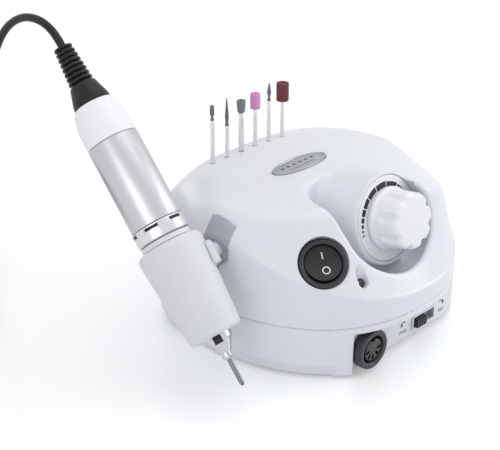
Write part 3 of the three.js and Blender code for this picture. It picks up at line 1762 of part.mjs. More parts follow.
const drill = framedGroup(
  handpieceFrame,
  piece('rear_cap', rearCap(), finishes.whiteCap),
  piece('barrel', barrel(), finishes.brushedBarrel),
  piece('lock_ring', lockRing(), finishes.steel),
  piece('grip_sleeve', gripSleeve(), finishes.milkySleeve),
  piece('front_housing', frontHousing(), finishes.whiteCap),
  piece('nose_cone', noseCone(), finishes.steel),
  piece('motor_can', motorCan(), finishes.iron),
  piece('front_bearing', bearing(spindle.frontBearing), finishes.steel),
  piece('rear_bearing', bearing(spindle.rearBearing), finishes.steel),
  piece('collet', colletPiece(), finishes.steel),
  piece('spindle_shaft', spindleShaft(), finishes.steel),
  piece('fitted_bit', fittedBit(), finishes.steel),
);
const reliefPiece = framedGroup(
  handpieceFrame,
  piece('strain_relief', strainRelief(), finishes.softBlack),
);

const plugHolder = new THREE.Group();
const cordEnd = coilPath().pop();
plugHolder.position.set(cordEnd.x, cordEnd.y - seatGap, cordEnd.z);
plugHolder.rotation.x = Math.PI / 2;
plugHolder.add(
  piece('din_plug_shell', plugShell(), finishes.softBlack),
  piece('din_plug_core', plugCore(), finishes.steel),
);
const cordPieces = group(
  reliefPiece,
  piece('cord_run', cordRun(), finishes.softBlack),
  piece('cord_coil', cordCoil(), finishes.softBlack),
  plugHolder,
);

// The origin is on the table, under the middle of the rigid pieces without the cord.
const rigid = group(controlUnit, drill);
rigid.updateMatrixWorld(true);
const span = new THREE.Box3().setFromObject(rigid, true);
const middle = span.getCenter(new THREE.Vector3());

const nailDrill = group(rigid, cordPieces);
nailDrill.position.set(-middle.x, -middle.y, -span.min.z);

export default nailDrill;
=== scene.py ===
# %% [markdown]
# # An electric nail drill
# The object is a small domed control unit with a speed knob, a rocker switch and a rack of bits,
# and a corded handpiece that leans in a cradle at its left side. The rigid frame was made in CAD
# and is loaded first. This notebook then gives every piece its looks, one after another. All
# lengths are written in millimetres in the control unit's own frame, where x = 0 is the middle
# of the unit, -Y is its front and z = 0 is the table, and `in_frame` turns them into metres.

# %% Load the frame
from functools import reduce
from math import acos, atan2, cos, hypot, pi, radians, sin, sqrt, tan

import bpy
import numpy as np
from mathutils import Matrix, Vector


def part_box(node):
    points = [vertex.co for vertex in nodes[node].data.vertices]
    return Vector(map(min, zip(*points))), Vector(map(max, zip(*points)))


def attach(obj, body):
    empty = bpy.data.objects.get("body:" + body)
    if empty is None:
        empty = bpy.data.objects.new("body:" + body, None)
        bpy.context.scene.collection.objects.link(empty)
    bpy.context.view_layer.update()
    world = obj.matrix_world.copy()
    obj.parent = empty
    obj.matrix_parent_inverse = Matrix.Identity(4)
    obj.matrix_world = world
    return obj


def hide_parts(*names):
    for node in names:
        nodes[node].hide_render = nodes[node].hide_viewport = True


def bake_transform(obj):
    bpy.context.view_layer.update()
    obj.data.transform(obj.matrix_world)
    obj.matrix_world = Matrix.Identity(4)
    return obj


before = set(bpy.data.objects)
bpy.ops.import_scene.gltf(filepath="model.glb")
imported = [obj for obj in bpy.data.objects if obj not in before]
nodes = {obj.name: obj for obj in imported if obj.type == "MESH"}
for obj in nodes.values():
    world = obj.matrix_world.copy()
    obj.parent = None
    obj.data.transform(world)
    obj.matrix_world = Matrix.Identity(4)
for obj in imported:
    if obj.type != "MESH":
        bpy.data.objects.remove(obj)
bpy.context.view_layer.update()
MM = 0.001

# The base shell's box gives the place of the unit's own frame in the part.
HALF_WIDTH, FRONT_REACH, BACK_REACH = 72.5, 82.5, 50.0
base_low, base_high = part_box("base_shell")
SHIFT = np.array([
    (base_low.x + base_high.x) / 2 / MM,
    base_low.y / MM + FRONT_REACH,
    0.0,
])
print("unit's frame lies at", SHIFT.round(2), "mm;", len(nodes), "CAD nodes")


def in_frame(points):
    """Points in millimetres in the unit's frame as metres in the part's frame."""
    return (np.asarray(points, float) + SHIFT) * MM


# %% [markdown]
# ## Camera
# The photograph looks at the unit's front left corner from 27 degrees above the table, through a
# long lens. A camera that is placed by its own point and its aim is the easiest one to correct,
# because each of the two can be moved alone.

# %% The camera
def aim(thing, place, target):
    """Puts a camera or a lamp at one point and turns it to another."""
    thing.location = in_frame(place)
    direction = Vector(in_frame(target)) - thing.location
    thing.rotation_mode = "QUATERNION"
    thing.rotation_quaternion = direction.to_track_quat("-Z", "Y")


CAMERA_AT, CAMERA_AIM, LENS = (-423.5, -386.5, 335.1), (-14, 23, 40), 87.62
scene = bpy.context.scene
camera_data = bpy.data.cameras.new("camera")
camera_data.sensor_width = 36
camera_data.lens = LENS
camera = bpy.data.objects.new("camera", camera_data)
scene.collection.objects.link(camera)
scene.camera = camera
aim(camera, CAMERA_AT, CAMERA_AIM)
camera_data.clip_start = 0.01
scene.view_settings.view_transform = "Standard"
print("camera at", tuple(round(v, 3) for v in camera.location))

# %% [markdown]
# ## Studio
# The photograph has a white table that gives back a little of the unit, and light that comes
# from a large soft source above. A floor with an even glow for the camera's rays stays white
# and still keeps the shadow, and no lamp has to be made stronger for it.

# %% Floor, world and lamps
WORLD_LIGHT = 0.7
FLOOR_GLOW = 0.22
FLOOR_HALF = 3000


def add_node(tree, kind, **values):
    """A new node, with plain values in the inputs that are named."""
    new = tree.nodes.new("ShaderNode" + kind)
    for socket, value in values.items():
        new.inputs[socket.replace("_", " ")].default_value = value
    return new


def seen_directly(tree):
    """A value that is 1 on rays that show the background itself: camera, glossy or transmission."""
    path = add_node(tree, "LightPath")
    seen = path.outputs["Is Camera Ray"]
    for kind in ("Is Glossy Ray", "Is Transmission Ray"):
        larger = add_node(tree, "Math")
        larger.operation = "MAXIMUM"
        tree.links.new(seen, larger.inputs[0])
        tree.links.new(path.outputs[kind], larger.inputs[1])
        seen = larger.outputs[0]
    return seen


world = bpy.data.worlds.new("studio")
scene.world = world
world.use_nodes = True
sky = world.node_tree
level = add_node(sky, "MapRange", To_Min=WORLD_LIGHT, To_Max=1.0)
sky.links.new(seen_directly(sky), level.inputs["Value"])
sky.nodes["Background"].inputs["Color"].default_value = (0.975, 0.985, 1, 1)
sky.links.new(level.outputs[0], sky.nodes["Background"].inputs["Strength"])

floor_mesh = bpy.data.meshes.new("floor")
floor_mesh.from_pydata(
    in_frame([(sx * FLOOR_HALF, sy * FLOOR_HALF, 0) for sx, sy in
              ((-1, -1), (1, -1), (1, 1), (-1, 1))]).tolist(), [], [(0, 1, 2, 3)])
floor = bpy.data.objects.new("floor", floor_mesh)
scene.collection.objects.link(floor)

floor_look = bpy.data.materials.new("white_table")
floor_look.use_nodes = True
tree = floor_look.node_tree
table = tree.nodes["Principled BSDF"]
table.inputs["Base Color"].default_value = (0.86, 0.87, 0.88, 1)
table.inputs["Roughness"].default_value = 0.22
table.inputs["Specular IOR Level"].default_value = 0.7
glow = add_node(tree, "Emission")
glow_level = add_node(tree, "Math")
glow_level.operation = "MULTIPLY"
glow_level.inputs[1].default_value = FLOOR_GLOW
tree.links.new(seen_directly(tree), glow_level.inputs[0])
tree.links.new(glow_level.outputs[0], glow.inputs["Strength"])
both = add_node(tree, "AddShader")
tree.links.new(table.outputs[0], both.inputs[0])
tree.links.new(glow.outputs[0], both.inputs[1])
tree.links.new(both.outputs[0], tree.nodes["Material Output"].inputs["Surface"])
floor_mesh.materials.append(floor_look)

for name, place, target, size, power in (
    ("lamp_above", (160, -60, 900), (0, 0, 0), 700, 1.5),
    ("lamp_right", (760, -560, 420), (0, -20, 60), 420, 2.2),
    ("lamp_left", (-760, -300, 380), (-60, 0, 60), 400, 0.9),
):
    lamp = bpy.data.lights.new(name, "AREA")
    lamp.size = size * MM
    lamp.energy = power
    holder = bpy.data.objects.new(name, lamp)
    scene.collection.objects.link(holder)
    aim(holder, place, target)
print("floor, world and three lamps are set")

# %% [markdown]
# ## Tools for finishes
# Moulded plastic is never one even colour: it has a faint grain from the mould, and its gloss
# changes a little from place to place. One function builds that from two noises, and each
# finish only says how strong and how fine they are. The coordinates are the object's own, so
# nothing has to be unwrapped.

# %% Finishes from nodes
def srgb(red, green, blue):
    """A colour from 0 to 255, as it is seen on a screen, in the linear values of the shaders."""
    def linear(value):
        return value / 12.92 if value <= 0.04045 else ((value + 0.055) / 1.055) ** 2.4
    return (linear(red / 255), linear(green / 255), linear(blue / 255), 1)


def finish(name, color, roughness, grain=0.03, grain_size=0.5, mottle=0.02, metallic=0.0,
           stretch=(1, 1, 1), spread=0.06):
    """A material with a fine bump, a colour that drifts by mottle and a gloss that drifts by spread."""
    material = bpy.data.materials.new(name)
    material.use_nodes = True
    tree = material.node_tree
    link = tree.links.new
    shader = tree.nodes["Principled BSDF"]
    shader.inputs["Metallic"].default_value = metallic
    place = add_node(tree, "TexCoord")
    mapping = add_node(tree, "Mapping", Scale=stretch)
    link(place.outputs["Object"], mapping.inputs["Vector"])

    fine = add_node(tree, "TexNoise", Scale=1 / (grain_size * MM), Detail=3)
    link(mapping.outputs[0], fine.inputs["Vector"])
    bump = add_node(tree, "Bump", Strength=0.5, Distance=grain * MM)
    link(fine.outputs["Fac"], bump.inputs["Height"])
    link(bump.outputs[0], shader.inputs["Normal"])

    broad = add_node(tree, "TexNoise", Scale=45, Detail=4)
    link(mapping.outputs[0], broad.inputs["Vector"])
    tint = add_node(tree, "Mix")
    tint.data_type = "RGBA"
    tint.inputs["A"].default_value = tuple(c * (1 - mottle) for c in color[:3]) + (1,)
    tint.inputs["B"].default_value = tuple(min(c * (1 + mottle), 1) for c in color[:3]) + (1,)
    link(broad.outputs["Fac"], tint.inputs["Factor"])
    link(tint.outputs["Result"], shader.inputs["Base Color"])
    gloss = add_node(tree, "MapRange", To_Min=max(roughness - spread, 0.02),
                     To_Max=roughness + spread)
    link(broad.outputs["Fac"], gloss.inputs["Value"])
    link(gloss.outputs[0], shader.inputs["Roughness"])
    return material


def own(material, **values):
    """Sets plain values on a material's own shader."""
    shader = material.node_tree.nodes["Principled BSDF"]
    for socket, value in values.items():
        shader.inputs[socket.replace("_", " ")].default_value = value
    return material


# %% [markdown]
# ## Tools for round pieces
# Most small pieces here are turned: a profile of (radius, height) points goes round an axis.
# Real edges are never sharp, so a helper first rounds each corner of the profile. A lathe in
# mesh code keeps the count of faces low and the ends closed, where a screw modifier would leave
# open rims.

# %% Profiles, frames and turned meshes
def rounded(profile, radius=0.4, steps=3):
    """The profile with each of its inner corners replaced by a short curve."""
    points = [np.array(p, float) for p in profile]
    result = [points[0]]
    for before, corner, after in zip(points, points[1:], points[2:]):
        back, on = before - corner, after - corner
        reach_back, reach_on = np.linalg.norm(back), np.linalg.norm(on)
        if reach_back < 1e-6 or reach_on < 1e-6:
            continue
        back, on = back / reach_back, on / reach_on
        opening = acos(float(np.clip(back @ on, -1, 1)))
        if opening > radians(165):
            result.append(corner)
            continue
        cut = min(radius / tan(opening / 2), 0.45 * reach_back, 0.45 * reach_on)
        for i in range(steps + 1):
            t = i / steps
            start, end = corner + back * cut, corner + on * cut
            result.append((1 - t) ** 2 * start + 2 * t * (1 - t) * corner + t * t * end)
    result.append(points[-1])
    return [tuple(p) for p in result]


def frame_on(place, normal):
    """A frame at a place, its +Z along the normal and its +X level."""
    z = Vector(normal).normalized()
    x = Vector((0, 0, 1)).cross(z).normalized()
    y = z.cross(x)
    axes = Matrix((x, y, z)).transposed().to_4x4()
    return Matrix.Translation(Vector(place)) @ axes


def offset(x, y, z=0):
    return Matrix.Translation((x, y, z))


def spun(degrees, axis="Z"):
    return Matrix.Rotation(radians(degrees), 4, axis)


def moved(points, matrix):
    """Points carried from a frame into the unit's frame."""
    array = np.array(matrix)
    return np.asarray(points, float) @ array[:3, :3].T + array[:3, 3]


def new_piece(name, points, faces, body, material, stands_for=(), slot=None, sharp=38):
    """A mesh from points in the unit's frame that rides on a body and replaces CAD nodes."""
    mesh = bpy.data.meshes.new(name)
    mesh.from_pydata(in_frame(points).tolist(), [], faces)
    mesh.validate()
    mesh.shade_smooth()
    mesh.set_sharp_from_angle(angle=radians(sharp))
    piece = bpy.data.objects.new(name, mesh)
    scene.collection.objects.link(piece)
    mesh.materials.append(material)
    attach(piece, body)
    if stands_for:
        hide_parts(*stands_for)
    return piece


def turned(profile, sides=64, matrix=Matrix()):
    """Points and faces of a profile turned about +Z. A radius of 0 closes into one point, and a
    profile that comes back to its start closes on itself."""
    closed = hypot(profile[0][0] - profile[-1][0], profile[0][1] - profile[-1][1]) < 1e-6
    stops = profile[:-1] if closed else profile
    points, rings = [], []
    for radius, height in stops:
        if radius < 1e-6:
            rings.append([len(points)])
            points.append((0, 0, height))
            continue
        rings.append(list(range(len(points), len(points) + sides)))
        angles = np.arange(sides) * 2 * pi / sides
        points += [(radius * cos(a), radius * sin(a), height) for a in angles]
    faces = []
    pairs = list(zip(rings, rings[1:])) + ([(rings[-1], rings[0])] if closed else [])
    for low, high in pairs:
        for i in range(sides):
            j = (i + 1) % sides
            if len(low) == 1 and len(high) == 1:
                break
            if len(low) == 1:
                faces.append((low[0], high[j], high[i]))
            elif len(high) == 1:
                faces.append((low[i], low[j], high[0]))
            else:
                faces.append((low[i], low[j], high[j], high[i]))
    return moved(points, matrix), faces


def lathe(name, profile, edge, sides, matrix, body, material, node, slot, steps=3, sharp=38):
    """A turned piece with eased edges, which stands for one CAD node."""
    return new_piece(name, *turned(rounded(profile, edge, steps), sides, matrix), body, material,
                     [node], slot, sharp)


def stacked(rows, count):
    """Faces of a closed body whose points lie in equal rows round it, from its bottom up."""
    faces = [tuple(range(count - 1, -1, -1)), tuple((rows - 1) * count + i for i in range(count))]
    for start in range(0, (rows - 1) * count, count):
        for i in range(count):
            j = (i + 1) % count
            faces.append((start + i, start + j, start + count + j, start + count + i))
    return faces


def layered(outline, rows, matrix=Matrix()):
    """A closed body that repeats an outline for each (inset, height) of its rows."""
    ring = np.array(outline, float)
    reach = np.abs(ring).max(0)
    points = [np.column_stack([ring * ((reach - inset) / reach), np.full(len(ring), height)])
              for inset, height in rows]
    return moved(np.vstack(points), matrix), stacked(len(rows), len(ring))


def joined(*meshes):
    """Several meshes as the points and faces of one."""
    points, faces = [], []
    for more, links in meshes:
        start = len(points)
        points += list(more)
        faces += [tuple(start + v for v in face) for face in links]
    return points, faces


# %% [markdown]
# ## The cord
# One black cord of 4 mm leaves the strain relief, goes over a loose arch and comes down behind the
# unit, where the length that nobody needs lies wound in two layers. It is a mesh tube and not a
# curve with a bevel, and it crosses from the handpiece to the table. Its middle line repeats the
# points of the CAD route.

# %% The middle line of the cord
CORD = 4.0
LEAN = radians(42.2)
TIP = np.array([-95, -52, 15.3])
ALONG = np.array([0, sin(LEAN), cos(LEAN)])
RELIEF_TOP = 178.6
arch = [
    (-95, 68.1, 147.8), (-95, 70.8, 150.7), (-95, 74, 153.3), (-95, 78, 155.4), (-95, 83.2, 156.9),
    (-95, 89.5, 157.2), (-95, 96.5, 156.2), (-95, 104, 153.4), (-95, 111.5, 148.8),
    (-95, 118.5, 142.2), (-95, 124.8, 133.6), (-95, 130.2, 123), (-95, 134.6, 110.6),
    (-95, 138, 97), (-95, 140.8, 82), (-95, 143.2, 66.4), (-95, 145.6, 51), (-95, 148.2, 37.4),
    (-95, 151.6, 25.8), (-95, 156.2, 16.2), (-95, 162, 8.8), (-95, 168.8, 4.3), (-95, 175, 2.4),
    (-96.2, 181.4, 2.15), (-99.6, 187.2, 2.15), (-105, 191.4, 2.15),
]


def eased(start, end, value):
    """Goes smoothly from 0 at start to 1 at end."""
    share = np.clip((value - start) / (end - start), 0, 1)
    return share * share * (3 - 2 * share)


TURNS_IN, TURNS = 3, 6.25
TURN_PITCH, LAYER_RISE, FLOOR_TURN, PLUG_AXIS = 4.7, 4.6, 2.15, 7.95
turn = np.linspace(0, TURNS, int(TURNS * 40) + 1)
climb = eased(TURNS_IN - 0.25, TURNS_IN + 0.25, turn)
lift = eased(TURNS - 0.25, TURNS, turn)
radius = (46 - TURN_PITCH * TURNS_IN) / 2 + TURN_PITCH * abs(turn - TURNS_IN) + 4.5 * lift
angle = 2 * pi * (turn + 0.25)
coil = np.stack([
    -131.5 + radius * np.cos(angle),
    163 + radius * np.sin(angle),
    FLOOR_TURN + LAYER_RISE * climb + (PLUG_AXIS - FLOOR_TURN - LAYER_RISE) * lift,
], 1)
end_angle = 2 * pi * (TURNS + 0.5)
cord_end = coil[-1] + CORD * np.array([cos(end_angle), sin(end_angle), 0])


def smooth_line(points, step):
    """An even, centripetal curve through the points, with one point for each step."""
    line = []
    points = np.asarray(points, float)
    padded = np.vstack([2 * points[0] - points[1], points, 2 * points[-1] - points[-2]])
    for a, b, c, d in zip(padded, padded[1:], padded[2:], padded[3:]):
        spans = [np.linalg.norm(v) ** 0.5 for v in (b - a, c - b, d - c)]
        t0, t1, t2, t3 = np.cumsum([0, *spans])
        count = max(int(np.linalg.norm(c - b) / step), 1)
        for t in np.linspace(t1, t2, count, endpoint=False):
            ab = ((t1 - t) * a + (t - t0) * b) / (t1 - t0)
            bc = ((t2 - t) * b + (t - t1) * c) / (t2 - t1)
            cd = ((t3 - t) * c + (t - t2) * d) / (t3 - t2)
            first = ((t2 - t) * ab + (t - t0) * bc) / (t2 - t0)
            second = ((t3 - t) * bc + (t - t1) * cd) / (t3 - t1)
            line.append(((t2 - t) * first + (t - t1) * second) / (t2 - t1))
    return np.array([*line, points[-1]])


in_relief = TIP + ALONG * (RELIEF_TOP - 3)
entry = [coil[0] + (8.8, 0, 0), coil[0] + (4.3, 0, 0)]
run = smooth_line([in_relief, *arch, *entry], 2.2)
cord_line = np.vstack([run, coil, cord_end])

# %% [markdown]
# A tube needs a ring at each point that doesn't spin as the line turns. Carrying one side
# direction along, and only taking out what has come to lie along the line, keeps it from
# twisting, also where the line runs straight up or down.

# %% The cord's tube
def tube(line, diameter, sides):
    """Points and faces of a closed tube along a line."""
    line = np.asarray(line, float)
    towards = np.gradient(line, axis=0)
    towards /= np.linalg.norm(towards, axis=1)[:, None]
    side = np.array([1.0, 0, 0])
    points = []
    angles = np.arange(sides) * 2 * pi / sides
    for place, ahead in zip(line, towards):
        side = side - (side @ ahead) * ahead
        side /= np.linalg.norm(side)
        up = np.cross(ahead, side)
        ring = np.outer(np.cos(angles), side) + np.outer(np.sin(angles), up)
        points.append(place + ring * diameter / 2)
    return np.vstack(points), stacked(len(line), sides)


soft_black = own(finish("soft_black_cord", srgb(24, 24, 26), 0.46, grain=0.05, grain_size=0.35),
                 Specular_IOR_Level=0.32)
cord_points, cord_faces = tube(cord_line, CORD, 12)
cord_mesh = bpy.data.meshes.new("cord")
cord_mesh.from_pydata(in_frame(cord_points).tolist(), [], cord_faces)
cord_mesh.shade_smooth()
cord_mesh.set_sharp_from_angle(angle=radians(60))
cord_mesh.materials.append(soft_black)
cord_piece = bpy.data.objects.new("cord", cord_mesh)
scene.collection.objects.link(cord_piece)
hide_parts("cord_run", "cord_coil")
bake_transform(cord_piece)
print("cord tube:", len(cord_faces), "faces")

# %% [markdown]
# ## The unit's form as a field
# The two white shells are soft moulded forms: a rounded outline, a crease that dips to the front,
# a scoop behind the knob with a soft rim, and a round boss that stands in the scoop. Cutting
# such forms out of each other leaves knife edges. A field, which says for any point how far it
# lies outside the plastic, can be joined and cut with a rounded edge of any radius. So the
# shells are written as fields first, in numpy, and get their mesh afterwards.

# %% Rounded joins, and the outline
def both_of(first, second, radius):
    """Inside both fields, with the edge between them rounded to a radius."""
    corner = np.hypot(np.maximum(first + radius, 0), np.maximum(second + radius, 0))
    return np.minimum(np.maximum(first, second), -radius) + corner


def either_of(first, second, radius):
    """Inside either field, with a fillet of a radius where they meet."""
    return -both_of(-first, -second, radius)


def all_of(*fields):
    """Inside every field, with sharp edges."""
    return reduce(np.maximum, fields)


def any_of(*fields):
    """Inside at least one field, with sharp edges."""
    return reduce(np.minimum, fields)


WALL = 2.5
SEAM_LOW, SEAM_HIGH = 27.85, 28.15


def outline_share(x, y, inset=0.0):
    """The share of the way out to the unit's outline, and how fast it grows there."""
    half = HALF_WIDTH - inset
    front = y < 0
    power = np.where(front, 2.26, 4.0)
    reach = np.where(front, FRONT_REACH, BACK_REACH) - inset
    u, v = np.abs(x) / half, np.abs(y) / reach
    share = np.maximum((u ** power + v ** power) ** (1 / power), 1e-6)
    growth = np.hypot(u ** (power - 1) / half, v ** (power - 1) / reach) * share ** (1 - power)
    return share, np.maximum(growth, 1e-6)


def outside_outline(x, y, inset=0.0):
    """How far a point lies outside the outline, negative inside."""
    share, growth = outline_share(x, y, inset)
    return (share - 1) / growth


# %% [markdown]
# The dome is a slowly falling top that meets a steeper facet all round, and the facet starts at
# the crease. The numbers are those of the CAD part, so the visible shell lies on the solid one.

# %% The dome's height over any point
def lower_of(first, second, blend):
    """The lower of two heights, blended softly where they are close."""
    near = np.maximum(blend - np.abs(first - second), 0) / blend
    return np.minimum(first, second) - near * near * blend / 4


def top_height(x, y):
    front = np.maximum(-y, 0) / FRONT_REACH
    fall = np.where(x < 0, 3.0, 7.3) * (1 + 4.9 * front)
    return 79.6 - 0.115 * y - 7 * front * front - fall * (x / HALF_WIDTH) ** 2


def crease_height(x, y):
    crease = 70 + 0.391 * y - 0.077 * x
    drop = 0.6 + (10.5 - 0.6) * eased(15, 60, -x)
    return lower_of(crease, top_height(x, y) - drop, 5.0)


GROOVE_START, GROOVE_END = np.array([-69.0, 2.0]), np.array([-46.0, 28.0])


def groove_depth(x, y):
    """The soft groove over the left shoulder."""
    length = np.linalg.norm(GROOVE_END - GROOVE_START)
    dx, dy = (GROOVE_END - GROOVE_START) / length
    along = (x - GROOVE_START[0]) * dx + (y - GROOVE_START[1]) * dy
    beside = (x - GROOVE_START[0]) * dy - (y - GROOVE_START[1]) * dx
    past = np.maximum(np.maximum(-along, along - length), 0)
    return 3.4 * np.exp(-(beside ** 2 + past ** 2) / 36)


def dome_height(x, y):
    share, growth = outline_share(x, y, 1.2)
    inward = np.maximum(1 - share, 0) / growth
    slope = 1.5 + (4 - 1.5) * eased(0, 50, x / share)
    facet = crease_height(x / share, y / share) + slope * inward
    return lower_of(top_height(x, y), facet, 6.0) - groove_depth(x, y)


def above_dome(x, y, z):
    """How far a point lies above the dome, measured square to it."""
    step = 0.5
    slope_x = dome_height(x + step, y) - dome_height(x - step, y)
    slope_y = dome_height(x, y + step) - dome_height(x, y - step)
    return (z - dome_height(x, y)) / np.sqrt(1 + slope_x ** 2 + slope_y ** 2)


def height_at(x, y):
    return float(dome_height(np.float64(x), np.float64(y)))


def dome_normal(x, y, step=WALL):
    return (
        -(height_at(x + step, y) - height_at(x - step, y)) / (2 * step),
        -(height_at(x, y + step) - height_at(x, y - step)) / (2 * step),
        1.0,
    )


print(f"dome: {height_at(0, 0):.1f} mm over the middle, {height_at(1, 39.3):.1f} mm at the rack")

# %% [markdown]
# Next come the scoop and the boss. The scoop is a ball that is drawn out to a smaller ball, up
# and to the left, and its distance can be written exactly. Cylinders and boxes follow the same
# pattern: each answers how far outside it a point lies.

# %% Fields of simple bodies
def in_own_frame(matrix, x, y, z):
    """A point's place in another frame, one coordinate at a time."""
    inverse = np.array(matrix.inverted())
    return [row[0] * x + row[1] * y + row[2] * z + row[3] for row in inverse[:3]]


def outside_rod(matrix, diameter, low, high, radius, x, y, z):
    """A cylinder along a frame's +Z with rounded rims."""
    u, v, w = in_own_frame(matrix, x, y, z)
    ends = np.maximum(w - high, low - w)
    return both_of(np.hypot(u, v) - diameter / 2, ends, radius)


def outside_box(low, high, x, y, z):
    return all_of(*(np.maximum(l - c, c - h) for c, l, h in zip((x, y, z), low, high)))


SCOOP_CENTRE, SCOOP_RADIUS = np.array([-1.8, -52, 63.5]), 28.2
SCOOP_TIP, SCOOP_TIP_RADIUS = np.array([-16.2, -34.4, 107.6]), 17.6


def outside_drop(large_at, large, small_at, small, x, y, z):
    """A large ball drawn out to a smaller one."""
    length = np.linalg.norm(small_at - large_at)
    ahead = (small_at - large_at) / length
    px, py, pz = x - large_at[0], y - large_at[1], z - large_at[2]
    along = px * ahead[0] + py * ahead[1] + pz * ahead[2]
    across = np.sqrt(np.maximum(px * px + py * py + pz * pz - along * along, 0))
    lean = (large - small) / length
    upright = sqrt(1 - lean * lean)
    foot = along * upright - across * lean
    ball = np.hypot(along, across) - large
    tip = np.hypot(along - length, across) - small
    side = along * lean + across * upright - large
    return np.where(foot < 0, ball, np.where(foot > length * upright, tip, side))


def outside_scoop(x, y, z):
    """The drop-shaped scoop: a ball round the boss, drawn out up and back over the dome."""
    return outside_drop(SCOOP_CENTRE, SCOOP_RADIUS, SCOOP_TIP, SCOOP_TIP_RADIUS, x, y, z)


KNOB = frame_on((6, -53.6, 64.4), (0, -cos(radians(14)), sin(radians(14))))
ROCKER = frame_on((-45, -57, 60), (-0.475, -0.6, 0.643))
LIGHT_AT = (-31.2, -70.9)
LED = frame_on((*LIGHT_AT, height_at(*LIGHT_AT)), dome_normal(*LIGHT_AT))
BADGE = frame_on((-2.1, -1, height_at(-2.1, -1) - 0.8), dome_normal(-2.1, -1))
BADGE_PRINT = BADGE @ spun(180)
LIGHT_LOW = np.array(LED @ Vector((-0.4, 0.1, -2.0)))
LIGHT_HIGH = np.array(LED @ Vector((-1.2, 6.8, 0.6)))


def outside_light_scoop(x, y, z):
    """The small drop-shaped recess of the light, deepest at its lower end."""
    return outside_drop(LIGHT_LOW, 2.9, LIGHT_HIGH, 1.9, x, y, z)


RACK_X, RACK_Y, RACK_PITCH = 1, 39.3, 10.5
BIT_X = [RACK_X + (i - 2.5) * RACK_PITCH for i in range(6)]
RACK_TOP = height_at(RACK_X, RACK_Y)
CRADLE_Y, CRADLE_Z, POCKET_FLOOR = -11.3, 60.0, -64.5
COLUMNS = [(x, y) for x in (-58, 58) for y in (-24, 22)]

# %% [markdown]
# The upper shell is then the outline and the dome with a soft crease, less the scoop with a
# softer rim, and the boss added. Its hollow keeps walls of 2.5 mm and the blocks that hold the
# bits, the switch, the light and the screws.

# %% The upper shell's field
CREASE_SOFTNESS, SCOOP_RIM, BOSS_FILLET = 1.1, 2.6, 3.6
BOSS_WIDTH, BOSS_HOLLOW, COLUMN_RADIUS = 47.5, 42.5, 4.5


def outside_columns(x, y):
    return any_of(*(np.hypot(x - cx, y - cy) - COLUMN_RADIUS for cx, cy in COLUMNS))


def upper_field(x, y, z):
    lean = 1.2 * np.clip((z - SEAM_HIGH) / 40, 0, 1)
    wall = outside_outline(x, y) + lean
    top = above_dome(x, y, z)
    scoop = outside_scoop(x, y, z)
    boss = outside_rod(KNOB, BOSS_WIDTH, -31, 0, 0.9, x, y, z)
    outer = both_of(wall, top, CREASE_SOFTNESS)
    outer = both_of(outer, SEAM_HIGH - z, 0.35)
    outer = both_of(outer, -scoop, SCOOP_RIM)
    outer = either_of(outer, boss, BOSS_FILLET)
    outer = both_of(outer, -outside_light_scoop(x, y, z), 0.5)
    kept = any_of(
        scoop - WALL,
        boss,
        outside_rod(ROCKER, 27, -11, -2.2, 0.5, x, y, z),
        outside_rod(LED, 14.4, -7.2, 0, 0.5, x, y, z),
        outside_box((BIT_X[0] - 4, RACK_Y - 4, RACK_TOP - 13.5),
                    (BIT_X[5] + 4, RACK_Y + 4, 200), x, y, z),
        outside_box((-HALF_WIDTH, CRADLE_Y - 10, 42.5),
                    (POCKET_FLOOR + WALL, CRADLE_Y + 12, 200), x, y, z),
        outside_columns(x, y),
    )
    room = all_of(all_of(wall, top, outer) + WALL, -kept)
    hollow = outside_rod(KNOB, BOSS_HOLLOW, -60, -7.5, 0.5, x, y, z)
    return all_of(outer, -room, -hollow)


# %% [markdown]
# The base is a tray: a plain wall, a narrow band that steps in at the foot, and a pocket in the
# front for the panel. The panel's pocket gets a small round at its mouth, as the mould gives it.

# %% The base shell's field
PANEL_FACE, PANEL_HALF, PANEL_TOP, PANEL_RIGHT = -70.3, 39.0, 24.2, 46.0
PANEL_BACK = PANEL_FACE + 2.3
BASE_BOTTOM, BAND_TOP, BAND_INSET = 1.2, 6.9, 2.3
POST_RADIUS, POST_TOP = 2.5, 11.7


def base_field(x, y, z):
    wall = outside_outline(x, y)
    skirt = both_of(wall, np.maximum(BAND_TOP - z, z - SEAM_LOW), 0.5)
    band = both_of(wall + BAND_INSET, np.maximum(BASE_BOTTOM - z, z - SEAM_LOW), 0.5)
    outer = either_of(skirt, band, 0.3)
    lip = all_of(wall + 0.55, 20 - z, z - SEAM_HIGH + 0.03)
    outer = np.minimum(outer, lip)
    column = np.maximum(both_of(wall, np.maximum(BASE_BOTTOM - z, z - 12), 0.5),
                        outside_box((-45.5, -90, 0), (-PANEL_HALF + 1, -60, 28), x, y, z))
    outer = either_of(outer, column, 0.8)
    pocket = outside_box((-PANEL_HALF, -200, -50), (PANEL_RIGHT, PANEL_BACK, PANEL_TOP), x, y, z)
    outer = both_of(outer, -pocket, 0.6)
    room = np.maximum(np.where(z < 9, wall + BAND_INSET, wall) + WALL, 4.2 - z)
    kept = any_of(
        outside_box((-46, -200, 0), (48, PANEL_BACK + WALL, 28), x, y, z),
        outside_columns(x, y),
        *(np.maximum(np.hypot(x - cx, y - cy) - POST_RADIUS, z - POST_TOP)
          for cx in (-46, -2) for cy in (-12, 24)),
    )
    return all_of(outer, -np.maximum(room, -kept))


# %% [markdown]
# A field becomes a mesh by surface nets: each grid cell that the surface passes through gets
# one point, and the cells round each crossed grid edge share a face. Marching cubes would do
# too, but it makes sliver triangles. Two steps of Newton's method then bring the points onto
# the surface itself, so the mesh is smoother than its grid.

